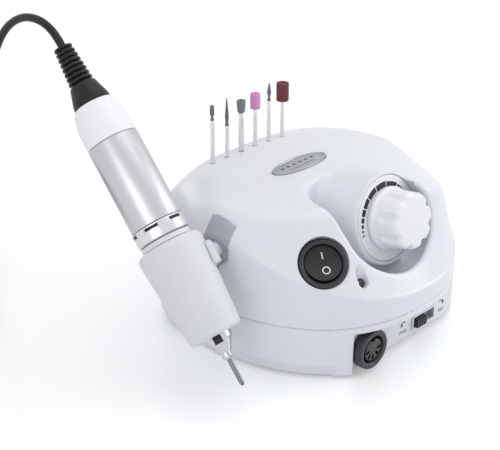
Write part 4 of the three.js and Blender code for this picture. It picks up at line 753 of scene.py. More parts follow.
# %% From a field to a mesh
def skin(field, low, high, cell):
    """Points and four-sided faces of the surface where a field is zero."""
    axes = [np.arange(l, h + cell, cell) for l, h in zip(low, high)]
    nx, ny, nz = (len(a) for a in axes)
    x, y, z = axes[0][:, None, None], axes[1][None, :, None], axes[2][None, None, :]
    value = np.broadcast_to(field(x, y, z), (nx, ny, nz))
    inside = value < 0

    def corner(array, dx, dy, dz):
        return array[dx:nx - 1 + dx, dy:ny - 1 + dy, dz:nz - 1 + dz]

    count = sum(corner(inside, dx, dy, dz).astype(np.int8)
                for dx in (0, 1) for dy in (0, 1) for dz in (0, 1))
    mixed = (count > 0) & (count < 8)
    index = np.full(mixed.shape, -1)
    index[mixed] = np.arange(mixed.sum())
    base = np.argwhere(mixed).astype(float)
    total, crossings = np.zeros_like(base), np.zeros(len(base))
    for axis in range(3):
        others = [a for a in range(3) if a != axis]
        for db in (0, 1):
            for dc in (0, 1):
                start = [0, 0, 0]
                start[others[0]], start[others[1]] = db, dc
                end = list(start)
                end[axis] = 1
                a, b = corner(value, *start)[mixed], corner(value, *end)[mixed]
                cross = (a < 0) != (b < 0)
                share = np.zeros(len(a))
                share[cross] = a[cross] / (a[cross] - b[cross])
                place = base + np.array(start, float)
                place[:, axis] += share
                total[cross] += place[cross]
                crossings += cross
    points = total / crossings[:, None] * cell + [a[0] for a in axes]

    faces = []
    for axis in range(3):
        b, c = [a for a in range(3) if a != axis]
        first = np.take(inside, range(inside.shape[axis] - 1), axis)
        second = np.take(inside, range(1, inside.shape[axis]), axis)
        edges = np.argwhere(first != second)
        edges = edges[(edges[:, b] > 0) & (edges[:, c] > 0)
                      & (edges[:, b] < index.shape[b]) & (edges[:, c] < index.shape[c])]
        leaving = first[tuple(edges.T)]
        ring = []
        for db, dc in ((-1, -1), (0, -1), (0, 0), (-1, 0)):
            cellid = edges.copy()
            cellid[:, b] += db
            cellid[:, c] += dc
            ring.append(index[tuple(cellid.T)])
        quads = np.stack(ring, 1)
        flip = leaving if axis == 1 else ~leaving
        quads[flip] = quads[flip][:, ::-1]
        faces.append(quads)
    faces = np.vstack(faces)

    for _ in range(2):
        px, py, pz = points.T
        far, step = field(px, py, pz), 0.02
        slope = np.stack([
            field(px + step, py, pz) - field(px - step, py, pz),
            field(px, py + step, pz) - field(px, py - step, pz),
            field(px, py, pz + step) - field(px, py, pz - step),
        ], 1) / (2 * step)
        move = -far[:, None] * slope / np.maximum((slope ** 2).sum(1), 0.2)[:, None]
        points += np.clip(move, -cell / 2, cell / 2)
    return points, faces.tolist()


# %% [markdown]
# Holes, seats and recesses are crisp on the real moulding, so they are cut out of the finished
# mesh with exact booleans. Each cutter is a small closed mesh, and all of them are taken away
# again when the cut is done.

# %% Cutters and the cut
def loose_mesh(points, faces):
    """An object for a boolean, which isn't kept."""
    mesh = bpy.data.meshes.new("cutter")
    mesh.from_pydata(in_frame(points).tolist(), [], faces)
    holder = bpy.data.objects.new("cutter", mesh)
    scene.collection.objects.link(holder)
    return holder


def rod_cutter(matrix, diameter, low, high, sides=48):
    radius = diameter / 2
    return loose_mesh(*turned([(0, low), (radius, low), (radius, high), (0, high)], sides, matrix))


def prism_cutter(matrix, outline, low, high):
    """A cutter whose outline, counted anticlockwise, is drawn in a frame's own x and y."""
    return loose_mesh(*layered(outline, [(0, low), (0, high)], matrix))


def cut(piece, cutters, sharp=50):
    """Takes the cutters out of a piece for good."""
    for cutter in cutters:
        change = piece.modifiers.new("cut", "BOOLEAN")
        change.operation = "DIFFERENCE"
        change.solver = "MANIFOLD"
        change.object = cutter
    bpy.context.view_layer.update()
    ready = piece.evaluated_get(bpy.context.evaluated_depsgraph_get())
    result = bpy.data.meshes.new_from_object(ready)
    piece.modifiers.clear()
    old = piece.data
    piece.data = result
    result.name = old.name
    bpy.data.meshes.remove(old)
    for cutter in cutters:
        mesh = cutter.data
        bpy.data.objects.remove(cutter)
        bpy.data.meshes.remove(mesh)
    result.shade_smooth()
    result.set_sharp_from_angle(angle=radians(sharp))


def ellipse(length, width, count=64):
    return [(length / 2 * cos(2 * pi * i / count), width / 2 * sin(2 * pi * i / count))
            for i in range(count)]


# %% [markdown]
# The upper shell is a cool white plastic, nearly even and with a medium gloss. It gets the seats
# of the dial, the rocker and the badge, the cradle's pocket in its left side, and the holes of
# the knob's shaft, the light, the bits and the screws. In the CAD part the deep hole behind the
# rocker breaks into the scoop. Here it is only as deep as the switch, which leaves a wall of
# about 0.3 mm between the two.

# %% The upper shell
ROCKER_SEAT, ROCKER_HOLE, ROCKER_DEPTH = 25.2, 20.6, 15.4
shell_white = finish("shell_white", srgb(229, 231, 236), 0.34, grain=0.012, grain_size=0.35,
                     mottle=0.012)
cell = 1.0
points, faces = skin(upper_field, (-74.3, -84.3, 26.2), (74.3, 51.9, 89.9), cell)
upper = new_piece("upper_shell_skin", points, faces, "control_unit", shell_white,
                  ["upper_shell"], "white_shell", sharp=50)
print("upper shell:", len(points), "points")

left_facing = Matrix((
    (0, 0, 1, 0),
    (1, 0, 0, CRADLE_Y),
    (0, 1, 0, CRADLE_Z),
    (0, 0, 0, 1),
))
pocket_outline = [(-7.6, 35), (-7.6, -4.2), (-2.1, -8.7), (-2.1, -15), (9.2, -15), (9.2, 35)]
shell_cutters = [
    rod_cutter(KNOB, 43.6, -1.7, 6, 96),
    rod_cutter(KNOB, 7.6, -37, 6, 32),
    rod_cutter(ROCKER, ROCKER_SEAT, -2.2, 72, 72),
    rod_cutter(ROCKER, ROCKER_HOLE, -ROCKER_DEPTH, 0, 48),
    prism_cutter(left_facing, pocket_outline[::-1], -78.5, POCKET_FLOOR),
    rod_cutter(LED, 4.6, -12.4, -2.9, 32),
    prism_cutter(BADGE, ellipse(38.2, 16.6), -0.3, 6),
]
shell_cutters += [rod_cutter(offset(x, RACK_Y), 2.95, RACK_TOP - 10.5, RACK_TOP + 6, 24)
                  for x in BIT_X]
shell_cutters += [rod_cutter(offset(x, y), 3.6, -6, 38.5, 20) for x, y in COLUMNS]
cut(upper, shell_cutters)
print("cut upper shell:", len(upper.data.polygons), "faces")

# %% [markdown]
# The base shell is of the same plastic. It gets the openings of the socket and the slide switch
# in its front, the gland's hole behind, and the seats of the screws and the feet below.

# %% The base shell
points, faces = skin(base_field, (-74.2, -84.2, -0.8), (74.2, 51.8, 29.2), cell)
base = new_piece("base_shell_skin", points, faces, "control_unit", shell_white,
                 ["base_shell"], "white_shell", sharp=50)


def on_panel(x, z):
    """The frame of a piece that is set into the front panel, its +Z out of the front."""
    return offset(x, PANEL_FACE, z) @ spun(90, "X")


SOCKET, SLIDE = on_panel(-28, 12.6), on_panel(18.3, 9)
GLAND_Y = BACK_REACH * (1 - (27 / HALF_WIDTH) ** 4) ** 0.25
GLAND = frame_on((34, GLAND_Y, 15), (0, 1, 0))


def rectangle(length, height, corner=0.0, steps=4):
    """An outline with its corners rounded, counted anticlockwise."""
    a, b = length / 2 - corner, height / 2 - corner
    if not corner:
        return [(-a, -b), (a, -b), (a, b), (-a, b)]
    outline = []
    for cx, cy, start in ((a, -b, -90), (a, b, 0), (-a, b, 90), (-a, -b, 180)):
        for i in range(steps + 1):
            turn_by = radians(start + 90 * i / steps)
            outline.append((cx + corner * cos(turn_by), cy + corner * sin(turn_by)))
    return outline


base_cutters = [
    rod_cutter(SOCKET, 18, -12, 6, 40),
    prism_cutter(SLIDE, rectangle(18.2, 6.8), -12, 6),
    rod_cutter(GLAND, 10.6, -12, 8, 40),
]
for x, y in COLUMNS:
    base_cutters += [rod_cutter(offset(x, y), 6.6, -6, 14, 32),
                     rod_cutter(offset(x, y), 3.6, 13, 34, 20)]
FEET = [("front_left", -46, -46), ("front_right", 46, -46),
        ("back_left", -46, 28), ("back_right", 46, 28)]
base_cutters += [rod_cutter(offset(x, y), 14.6, -6, 2.7, 40) for _, x, y in FEET]
cut(base, base_cutters)
print("base shell:", len(base.data.polygons), "faces")

# %% [markdown]
# ## Front panel, socket and slide switch
# The panel is a flat plate with softened edges. It carries a round black socket for the
# handpiece's plug and a slide switch that sets the direction of turning. Plates with rounded
# corners are drawn as outlines and given a small chamfer by drawing the outline once more,
# smaller, at each face.

# %% Plates with softened edges
def plate(outline, low, high, edge, matrix=Matrix()):
    """A closed plate on a convex outline, its edges eased by edge."""
    rows = [(edge, low), (edge * 0.3, low + edge * 0.3), (0, low + edge)]
    rows += [(0, high - edge), (edge * 0.3, high - edge * 0.3), (edge, high)]
    return layered(outline, rows, matrix)


PANEL_EDGE = 42.6
panel_width, panel_height = PANEL_EDGE + PANEL_HALF - 0.3, PANEL_TOP - 0.3 - 2.2
panel_frame = on_panel((PANEL_EDGE - PANEL_HALF + 0.3) / 2, 2.2 + panel_height / 2)
panel_piece = new_piece(
    "front_panel_plate", *plate(rectangle(panel_width, panel_height, 0.6), -2, 0, 0.45, panel_frame),
    "control_unit", shell_white, ["front_panel"], "white_shell", sharp=50)
cut(panel_piece, [rod_cutter(SOCKET, 19.6, -6, 6, 64),
                  prism_cutter(SLIDE, rectangle(18.2, 6.8), -6, 6)])

black_plastic = finish("black_plastic", srgb(44, 44, 48), 0.4, grain=0.02, grain_size=0.3)
button_black = own(finish("button_black", srgb(30, 30, 33), 0.36, grain=0.02, grain_size=0.3),
                   Specular_IOR_Level=0.35)
socket_ring = lathe("socket_body", [
    (6.2, -4.8), (8.7, -4.8), (8.7, 0.3), (10.3, 0.3), (10.6, 1.2), (10.3, 5.4), (9.9, 6.0),
    (7.9, 6.0), (7.2, 5.2), (6.9, -2), (6.2, -2), (6.2, -4.8)], 0.45, 96, SOCKET,
    "control_unit", black_plastic, "din_socket_housing", "black_plastic")
cut(socket_ring, [prism_cutter(SOCKET @ offset(0, 13.8), rectangle(30, 7), 0.2, 9)], sharp=40)

socket_core = lathe("socket_core", [(0, -4.8), (5.9, -4.8), (5.9, 5.4), (0, 5.4)], 0.3, 64,
                    SOCKET, "control_unit", black_plastic, "din_socket_insert", "soft_black")
PIN_ANGLES = [pi + pi * i / 4 for i in range(5)]
contact_holes = [
    prism_cutter(SOCKET @ offset(4.1 * cos(around), 4.1 * sin(around))
                 @ Matrix.Rotation(around, 4, "Z"), rectangle(3.0, 1.5, 0.7), 0, 8)
    for around in PIN_ANGLES]
contact_holes.append(prism_cutter(SOCKET @ offset(0, 8.5), rectangle(2.6, 7.8), 0, 8))
cut(socket_core, contact_holes)

switch_frame = new_piece(
    "switch_surround", *plate(rectangle(19, 7.6, 0.6), 0.3, 0.8, 0.15, SLIDE),
    "control_unit", shell_white, ["slide_switch_frame"], "black_plastic", sharp=50)
switch_grey = finish("switch_grey", srgb(176, 178, 184), 0.5, grain=0.01)
switch_body = new_piece(
    "switch_body", *plate(rectangle(17.6, 6.2, 0.2), -8, 0.4, 0.1, SLIDE),
    "control_unit", switch_grey, ["slide_switch_frame"], "black_plastic", sharp=50)
cut(switch_frame, [prism_cutter(SLIDE, rectangle(16.6, 6), -1, 6)])
cut(switch_body, [prism_cutter(SLIDE, rectangle(16.6, 6), -3, 6)])

LEVER = SLIDE @ offset(-4, 0)
lever_piece = new_piece(
    "direction_lever_cap", *plate(rectangle(8, 5, 0.5), -2.6, 3.0, 0.4, LEVER),
    "direction_lever", button_black, ["slide_switch_lever"], "black_plastic", sharp=50)
lever_groove = [(-0.5, 3.6), (-0.12, 2.4), (0.12, 2.4), (0.5, 3.6)]
cut(lever_piece, [prism_cutter(LEVER @ offset(1.9 * i, 0) @ spun(90, "X"), lever_groove, -4, 4)
                  for i in (-1, 0, 1)])
print("panel, socket and slide switch are made")

# %% [markdown]
# ## Rocker switch
# A black round rocker sits in a bezel on the front left of the dome. Its button is the middle
# slice of a ball with a shallow valley across it, so that one half always stands up. The button
# is turned, then the valley is cut with a prism whose bottom is a wide V with a rounded base.

# %% The rocker
lathe("rocker_bezel", [
    (0, -15), (10, -15), (10, -2), (12.3, -2), (12.3, -1.4), (11.4, -0.5), (10.2, -0.3),
    (9.3, -1.2), (9.3, -9.4), (0, -9.4)], 0.6, 96, ROCKER,
    "control_unit", black_plastic, "rocker_housing", "black_plastic", steps=4)

BUTTON = ROCKER @ offset(0, 0, -2.6) @ spun(-10, "X")
BUTTON_RADIUS, BUTTON_HALF = 8.9, 4.6
slice_profile = [(sqrt(BUTTON_RADIUS ** 2 - h * h), h)
                 for h in np.linspace(-BUTTON_HALF, BUTTON_HALF, 15)]
slice_profile = [(0, -BUTTON_HALF), *slice_profile, (0, BUTTON_HALF)]
button = new_piece("rocker_paddle", *turned(slice_profile, 96, BUTTON),
                   "power_rocker", button_black, ["rocker_button"], "black_plastic")
VALLEY_TOP, VALLEY_SLOPE, VALLEY_SOFT, VALLEY_REACH = 1.3, tan(radians(10)), 7.0, 9.6


def valley_height(across):
    """The face's height over its middle, with the bottom of the valley softened."""
    rise = hypot(across, VALLEY_SOFT) - 0.25 * VALLEY_SOFT
    return VALLEY_TOP - VALLEY_SLOPE * (BUTTON_RADIUS - rise)


across_face = Matrix(((0, 0, 1, 0), (1, 0, 0, 0), (0, 1, 0, 0), (0, 0, 0, 1)))
valley = [(a, valley_height(a)) for a in np.linspace(-VALLEY_REACH, VALLEY_REACH, 33)]
valley += [(VALLEY_REACH, VALLEY_REACH), (-VALLEY_REACH, VALLEY_REACH)]
cut(button, [prism_cutter(BUTTON @ across_face, valley, -VALLEY_REACH, VALLEY_REACH)], sharp=35)
print("rocker is made")

# %% [markdown]
# ## Speed knob and its dial
# The white knob is turned, with eight scallops round its side that start a little above the
# skirt. Cutting them with rods would leave knife edges, so the radius of each ring is worked out
# for every angle instead, with the scallop blended into the cap.

# %% The knob
FLUTES, FLUTE_RADIUS, FLUTE_REACH, FLUTE_START = 8, 2.7, 15.3, 8.2


def soft_lower(first, second, blend):
    near = max(blend - abs(first - second), 0) / blend
    return min(first, second) - near * near * blend / 4


def fluted(radius, height, around):
    """The knob's radius at a height and an angle, with the scallops taken out."""
    below = max(FLUTE_START - height, 0) / FLUTE_RADIUS
    if below >= 1:
        return radius
    size = FLUTE_RADIUS * sqrt(1 - below * below)
    pitch = 2 * pi / FLUTES
    off = (around % pitch) - pitch / 2
    sideways = FLUTE_REACH * sin(off)
    if abs(sideways) >= size:
        return radius
    near = FLUTE_REACH * cos(off) - sqrt(size * size - sideways * sideways)
    return soft_lower(radius, near, 0.7)


knob_profile = [(0, 1.8), (13, 1.8), (14.4, 0.3), (16, 1.0), (16, 3.0), (14.9, 4.2)]
knob_profile += [(14.9 - 0.55 * t, 4.2 + 10.4 * t) for t in np.linspace(0.08, 1, 22)]
knob_profile += [(11.9 + 2.45 * cos(a), 14.55 + 2.45 * sin(a)) for a in np.linspace(0.12, pi / 2, 10)]
knob_profile += [(9.5, 17), (7, 17), (4, 17), (0, 17)]
SIDES = 192
knob_points, knob_faces = turned(rounded(knob_profile[:6], 0.5) + knob_profile[6:], SIDES)
knob_points = np.array(knob_points)
for i, (x, y, z) in enumerate(knob_points):
    radius = hypot(x, y)
    if radius > 9 and z > FLUTE_START - FLUTE_RADIUS:
        around = atan2(y, x)
        level = 14.5 if z > 14.5 else z
        side = min(radius, fluted(14.9 - 0.55 * (level - 4.2) / 10.4, z, around)
                   - (14.35 - radius if z > 14.5 else 0))
        knob_points[i, :2] = side * cos(around), side * sin(around)
knob_white = finish("knob_white", srgb(240, 241, 244), 0.38, grain=0.01, mottle=0.01)
knob_piece = new_piece("speed_knob_cap", moved(knob_points, KNOB), knob_faces,
                       "speed_control", knob_white, ["speed_knob"], "knob_white", sharp=45)
cut(knob_piece, [rod_cutter(KNOB, 6.6, -6, 15.3, 32)], sharp=45)
lathe("dial_disc", [(3.8, -1.4), (21.5, -1.4), (21.5, 0), (3.8, 0), (3.8, -1.4)], 0.3, 128, KNOB,
      "control_unit", knob_white, "dial_plate", "dial_white")
print("knob and dial are made")

# %% [markdown]
# ## Light and badge
# The status light is a small dark lens at the bottom of its recess, because it is off. The
# badge is a thin oval plate with a raised rim, and carries nothing but a row of fine dots.

# %% Light, badge
dark_lens = own(finish("dark_lens", srgb(46, 20, 26), 0.12, grain=0.004, mottle=0.05),
                Coat_Weight=0.6, Coat_Roughness=0.06)
lathe("light_lens", [
    (0, -6.4), (2.2, -6.4), (2.2, -4.7), (1.9, -3.6), (1.3, -2.9), (0.5, -2.62), (0, -2.6)],
    0.5, 48, LED, "control_unit", dark_lens, "status_led", "led_red")

badge_silver = finish("badge_silver", srgb(168, 170, 176), 0.34, grain=0.006, grain_size=0.2,
                      metallic=0.65, mottle=0.03, stretch=(0.12, 1, 1))
new_piece("badge_oval", *layered(ellipse(37.6, 16, 96), [
    (0.1, 0), (0, 0.1), (0, 1.1), (0.1, 1.32), (0.3, 1.4), (0.7, 1.4), (0.92, 1.32),
    (1.0, 1.1), (1.05, 0.95), (1.3, 0.9)], BADGE),
    "control_unit", badge_silver, ["badge"], "badge_silver", sharp=50)
print("light and badge are made")

# %% [markdown]
# ## Cradle
# A grey knuckle with a chamfered rim sits in the pocket at the unit's left, and a milky clip on
# it holds the handpiece. The clip follows the grip's taper, so it is turned about the
# handpiece's axis and only its inner third is kept.

# %% Knuckle and clip
LEFT = offset(0, CRADLE_Y, CRADLE_Z) @ spun(-90, "Y")
knuckle_grey = finish("knuckle_grey", srgb(170, 173, 179), 0.42, grain=0.02)
lathe("cradle_pivot", [
    (0, 64.8), (6.2, 64.8), (7.3, 65.7), (7.3, 69.3), (6.2, 70.6), (4.0, 70.6), (4.0, 67.3),
    (0, 67.3)], 0.5, 72, LEFT, "control_unit", knuckle_grey, "cradle_knuckle", "knuckle_grey")

HAND = offset(*TIP.tolist()) @ Matrix.Rotation(-LEAN, 4, "X")
GRIP_LOW, GRIP_HIGH, GRIP_NARROW, GRIP_WIDE = 24.5, 72.1, 26.6, 33.4


def grip_radius(along):
    share = (along - GRIP_LOW) / (GRIP_HIGH - GRIP_LOW)
    return (GRIP_NARROW + (GRIP_WIDE - GRIP_NARROW) * share) / 2


CLIP_MIDDLE = (CRADLE_Z - TIP[2]) / cos(LEAN)
CLIP_LOW, CLIP_HIGH = CLIP_MIDDLE - 7.0, CLIP_MIDDLE + 4.2
CLIP_OUTER = grip_radius(CLIP_HIGH) + 0.3 + 2.3
COLLAR_END = -TIP[0] - CLIP_OUTER / 2


def shell_arc(inner, outer, low, high, half_degrees, steps, matrix, edge=0.5):
    """A part of a turned ring: inner and outer give the radius at a height."""
    section = [
        (inner(low) + edge, low), (outer - edge, low), (outer, low + edge), (outer, high - edge),
        (outer - edge, high), (inner(high) + edge, high), (inner(high - edge), high - edge),
        (inner(low + edge), low + edge)]
    points = []
    for i in range(steps + 1):
        around = radians(half_degrees) * (2 * i / steps - 1)
        points += [(r * cos(around), r * sin(around), h) for r, h in section[::-1]]
    return moved(points, matrix), stacked(steps + 1, len(section))


clip_milk = finish("clip_milk", srgb(222, 226, 230), 0.3, grain=0.01, mottle=0.03)
own(clip_milk, Subsurface_Weight=0.25, Subsurface_Scale=0.004)
new_piece("cradle_clip", *shell_arc(lambda along: grip_radius(along) + 0.3, CLIP_OUTER,
                                    CLIP_LOW, CLIP_HIGH, 55, 40, HAND),
          "control_unit", clip_milk, ["cradle_fork"], "milky_sleeve", sharp=50)
lathe("cradle_arm", [
    (0, 67.6), (3.6, 67.6), (3.6, 71.4), (4.1, 72.4), (3.8, COLLAR_END - 4.6), (0, COLLAR_END - 4.6)],
    0.6, 64, LEFT, "control_unit", clip_milk, "cradle_fork", "milky_sleeve")
print("cradle is made")

# %% [markdown]
# ## Handpiece
# The handpiece leans back at 42 degrees. From its tip it has a steel bit, a steel nose with two
# flats, a milky sleeve that is thickest at its top, a white collar, a steel twist ring with three
# slots, a brushed barrel, a white cap and a black ribbed strain relief. All of it is turned about
# one axis, so each piece is a profile with eased corners.

# %% Nose, ring and barrel
polished = finish("polished_steel", srgb(232, 232, 233), 0.24, grain=0.003, grain_size=0.15,
                  metallic=1.0, mottle=0.03, spread=0.05)
nose_steel = finish("nose_steel", srgb(196, 197, 201), 0.2, grain=0.003, grain_size=0.2,
                    metallic=1.0, mottle=0.05, spread=0.05)
brushed = own(finish("brushed_barrel", srgb(198, 198, 201), 0.38, grain=0.008, grain_size=0.5,
                     metallic=1.0, mottle=0.03, spread=0.05), Anisotropic=0.3)
nose = lathe("nose_tip", [
    (2.8, 15), (3.2, 15), (6.05, 20.2), (7.25, 21.2), (7.25, 25.1), (7.9, 25.1), (7.9, 29.7),
    (2.8, 29.7), (2.8, 15)], 0.5, 96, HAND,
    "handpiece", nose_steel, "nose_cone", "polished_steel")
bit_steel = finish("bit_steel", srgb(120, 121, 125), 0.22, grain=0.003, grain_size=0.2,
                   metallic=1.0, mottle=0.05, spread=0.05)
FLATS = HAND @ spun(-39)
cut(nose, [prism_cutter(FLATS @ offset(0, side * 10.3), rectangle(4.75, 8), 19.3, 24.2)
           for side in (-1, 1)], sharp=35)
# A dead black for the two sheets on the nose's flats, and for the painted shade in the ring's slots.
slot_shade_and_flat_black = finish("slot_shade_and_flat_black", srgb(20, 20, 22), 0.6, grain=0.003)
for i, side in enumerate((-1, 1)):
    new_piece(f"nose_flat_{i + 1}", *plate(rectangle(4.3, 3.9, 0.2), 6.15, 6.42, 0.05,
              FLATS @ offset(0, 0, 21.7) @ spun(-90 * side, "X")),
              "handpiece", slot_shade_and_flat_black, slot="polished_steel", sharp=50)

collar_white = finish("collar_white", srgb(226, 227, 233), 0.34, grain=0.01, mottle=0.01)
lathe("front_tube", [
    (8.2, 24.8), (10, 24.8), (10, 72.4), (12.45, 72.4), (12.45, 74.9), (10, 74.9), (10, 82.7),
    (8.2, 82.7), (8.2, 24.8)], 0.35, 96, HAND,
    "handpiece", collar_white, "front_housing", "white_cap")

ring_steel = finish("ring_steel", srgb(214, 214, 216), 0.3, grain=0.003, metallic=1.0, mottle=0.03)
ring_piece = lathe("twist_ring", [
    (10.3, 75.2), (12.5, 75.2), (13.1, 75.8), (13.1, 82.7), (10.3, 82.7), (10.3, 75.2)],
    0.25, 128, HAND, "collet_ring", ring_steel, "lock_ring", "polished_steel")
RING_SLOTS = [HAND @ spun(60 * i + 40) for i in range(6)]
cut(ring_piece, [prism_cutter(at @ offset(15.6, 0), rectangle(7, 7.4, 0.2), 80.4, 81.9)
                 for at in RING_SLOTS], sharp=35)
# Each slot gets a thin black arc in its floor: painted shade, a dark sheet set where the slot is only
# in shadow.
for i, at in enumerate(RING_SLOTS):
    new_piece(f"ring_slot_shade_{i + 1}", *shell_arc(
        lambda height: 11.6, 12.6, 80.35, 81.95, 16.5, 10, at, edge=0.05),
        "collet_ring", slot_shade_and_flat_black, slot="polished_steel", sharp=50)
lathe("barrel_tube", [(11.45, 83), (12.75, 83), (12.75, 127.2), (11.45, 127.2), (11.45, 83)],
      0.3, 128, HAND, "handpiece", brushed, "barrel", "barrel_steel")

# %% [markdown]
# The sleeve is a soft milky plastic with a rounded end at its nose and a rounded shoulder at its
# wide top. Its finish lets a little light into the surface, so that it doesn't look like chalk.

# %% The milky sleeve
grip = [(10.3, 23.6)] + [
    (grip_radius(26) - 2.4 + 2.4 * sin(a), 26 - 2.4 * cos(a)) for a in np.linspace(0.1, pi / 2, 8)]
grip += [(grip_radius(h), h) for h in np.linspace(27, 66, 14)]
grip += [(grip_radius(68.1) - 3.2 + 3.2 * cos(a), 68.4 + 3.7 * sin(a))
         for a in np.linspace(0.08, 1.35, 9)]
grip += [(13.2, 72.1), (10.3, 72.1), (10.3, 23.6)]
milky = finish("milky_sleeve", srgb(232, 233, 235), 0.44, grain=0.008, mottle=0.035,
               stretch=(1.6, 0.5, 0.5))
own(milky, Subsurface_Weight=0.3, Subsurface_Scale=0.005, Transmission_Weight=0.1, IOR=1.42)
new_piece("grip_tube", *turned(grip, 128, HAND), "handpiece", milky, ["grip_sleeve"],
          "milky_sleeve", sharp=50)

# %% [markdown]
# The cap narrows to the cord, and the strain relief is one moulded rubber piece: a cone with
# eight ribs that get smaller. The ribs are part of the turned profile, so they are real shapes.
# The cap's plain white is the CAD part's own finish, a little lighter than that of the collar.

# %% Cap and strain relief
cap_white = bpy.data.materials["white_cap"]
CAP_LOW, CAP_HIGH = 127.5, 147.2
cap_length = CAP_HIGH - CAP_LOW
lathe("end_cap", [
    (9.15, 123.5), (11.15, 123.5), (11.15, 127.5), (12.75, 127.5),
    (12.75, CAP_LOW + 0.45 * cap_length), (12.25, CAP_LOW + 0.62 * cap_length),
    (11.0, CAP_HIGH - 2), (9.7, CAP_HIGH), (5.5, CAP_HIGH), (5.5, 145.2), (8.3, 143.2),
    (9.15, 135.4), (9.15, 123.5)], 0.6, 128, HAND,
    "handpiece", cap_white, "rear_cap", "white_cap", steps=4)

RELIEF_LOW, CONE, RIBS = 147.5, 10.6, 8
profile = [(2.3, 140.5), (5.2, 140.5), (5.2, RELIEF_LOW), (9.4, RELIEF_LOW),
           (9.1, RELIEF_LOW + 2.4), (6.5, RELIEF_LOW + CONE), (4, RELIEF_LOW + CONE + 0.3)]
rib_pitch = (RELIEF_TOP - RELIEF_LOW - CONE - 0.3) / RIBS
for i in range(RIBS):
    start, share = RELIEF_LOW + CONE + 0.3 + i * rib_pitch, i / (RIBS - 1)
    outer, core = 6.1 - 1.5 * share, 4 - 0.6 * share
    profile += [(core, start + 0.35 * rib_pitch), (outer, start + 0.5 * rib_pitch),
                (outer, start + 0.95 * rib_pitch), (core, start + rib_pitch)]
profile[-1] = (profile[-1][0], RELIEF_TOP)
profile += [(2.3, RELIEF_TOP), (2.3, 140.5)]
soft_rubber = own(finish("soft_black_rubber", srgb(26, 26, 28), 0.44, grain=0.03, grain_size=0.4),
                  Specular_IOR_Level=0.32)
relief_piece = lathe("cord_relief", profile, 0.3, 48, HAND, "handpiece", soft_rubber,
                     "strain_relief", "soft_black", steps=2)

# %% [markdown]
# The collet is a slit steel tube, and the fitted bit is a plain shank in it, darker than the
# nose. Three thin prisms cut the slits.

# %% Collet and bit
collet_piece = lathe("collet_jaws", [
    (1.475, 11.6), (1.8, 11.6), (2.4, 12.8), (2.4, 31.6), (1.475, 31.6), (1.475, 11.6)], 0.2,
    48, HAND, "spindle", nose_steel, "collet", "polished_steel")
cut(collet_piece, [
    prism_cutter(HAND @ spun(120 * i + 30) @ offset(2.4, 0), rectangle(4.8, 0.35), 5, 21.6)
    for i in range(3)], sharp=40)
lathe("fitted_shank", [(0, -2.3), (0.6, -2.3), (1.175, -1.1), (1.175, 30), (0, 30)], 0.25, 40,
      HAND, "working_bit", bit_steel, "fitted_bit", "polished_steel")
print("handpiece is made")

# %% [markdown]
# ## The rack of bits
# Six bits stand in the dome's back: two dark steel burrs and a flame with fine teeth, and three
# stones, a grey cone, a pink cylinder and a brown sanding band. Each rides on its own body,
# because each can be lifted out. Stones get a coarse grain and no gloss.

# %% Shanks and heads
SHANK = 2.35 / 2
FOOT_Z = RACK_TOP - 10
burr_steel = finish("burr_steel", srgb(118, 119, 124), 0.38, grain=0.12, grain_size=0.25,
                    metallic=0.9, mottle=0.12)
grey_stone = finish("grey_stone", srgb(120, 132, 136), 0.9, grain=0.14, grain_size=0.22,
                    mottle=0.14)
pink_stone = finish("pink_stone", srgb(222, 150, 204), 0.88, grain=0.12, grain_size=0.22,
                    mottle=0.08)
sanding_brown = finish("sanding_brown", srgb(112, 61, 66), 0.92, grain=0.16, grain_size=0.2,
                       mottle=0.2)


def bit_piece(name, profile, i, material, node, slot="polished_steel", sides=32):
    lathe(name, profile, 0.25, sides, offset(BIT_X[i], RACK_Y, FOOT_Z), f"rack_bit_{i + 1}",
          material, node, slot, sharp=40)


def plain_shank(i, top, node):
    bit_piece(f"bit_{i + 1}_shank", [(0, 0), (0.94, 0), (SHANK, 0.6), (SHANK, top), (0, top)],
              i, polished, node)


plain_shank(0, 33.7, "bit_1_barrel")
bit_piece("bit_1_burr", [(0, 33.2), (SHANK, 33.4), (0.62, 35.6), (0.62, 36), (1.15, 36.6),
                         (1.15, 41.4), (0.5, 42), (0, 42)], 0, burr_steel, "bit_1_barrel")
plain_shank(1, 27.8, "bit_2_needle")
bit_piece("bit_2_burr", [(0, 27.4), (SHANK, 27.5), (0.75, 30), (1.1, 32.2), (0.3, 42.7), (0, 43)],
          1, burr_steel, "bit_2_needle")
plain_shank(4, 33, "bit_5_flame")
bit_piece("bit_5_burr", [(0, 32.6), (SHANK, 32.7), (0.58, 35.3), (1.15, 37.3), (0.96, 39.3),
                         (0.46, 42.3), (0, 43.3)], 4, burr_steel, "bit_5_flame")
for i, neck, total, sleeve in ((2, 32.4, 38.8, 1.6), (3, 31.4, 39.9, SHANK), (5, 30.3, 40.3, SHANK)):
    bit_piece(f"bit_{i + 1}_core", [
        (0, 0), (0.94, 0), (SHANK, 0.6), (SHANK, neck / 3), (sleeve, neck / 3 + 0.1),
        (sleeve, neck - 0.3), (0.59, neck - 0.3), (0.59, total - 1.2), (0, total - 1.2)],
        i, polished, f"bit_{i + 1}_mandrel")
bit_piece("bit_3_stone", [(0.89, 32.4), (1.85, 32.4), (2, 32.7), (2.5, 38.5), (2.2, 38.8),
                          (0.89, 38.8), (0.89, 32.4)], 2, grey_stone, "bit_3_grey_cone",
          "grey_stone")
bit_piece("bit_4_stone", [(0.89, 31.4), (2.4, 31.4), (2.7, 31.7), (2.7, 39.6), (2.4, 39.9),
                          (0.89, 39.9), (0.89, 31.4)], 3, pink_stone, "bit_4_pink_cylinder",
          "pink_stone")
bit_piece("bit_6_band", [(0.89, 30.3), (3.2, 30.3), (3.4, 30.5), (3.4, 40.1), (3.2, 40.3),
                         (0.89, 40.3), (0.89, 30.3)], 5, sanding_brown, "bit_6_sanding_band",
          "sanding_brown", sides=48)
print("six bits stand in the rack")

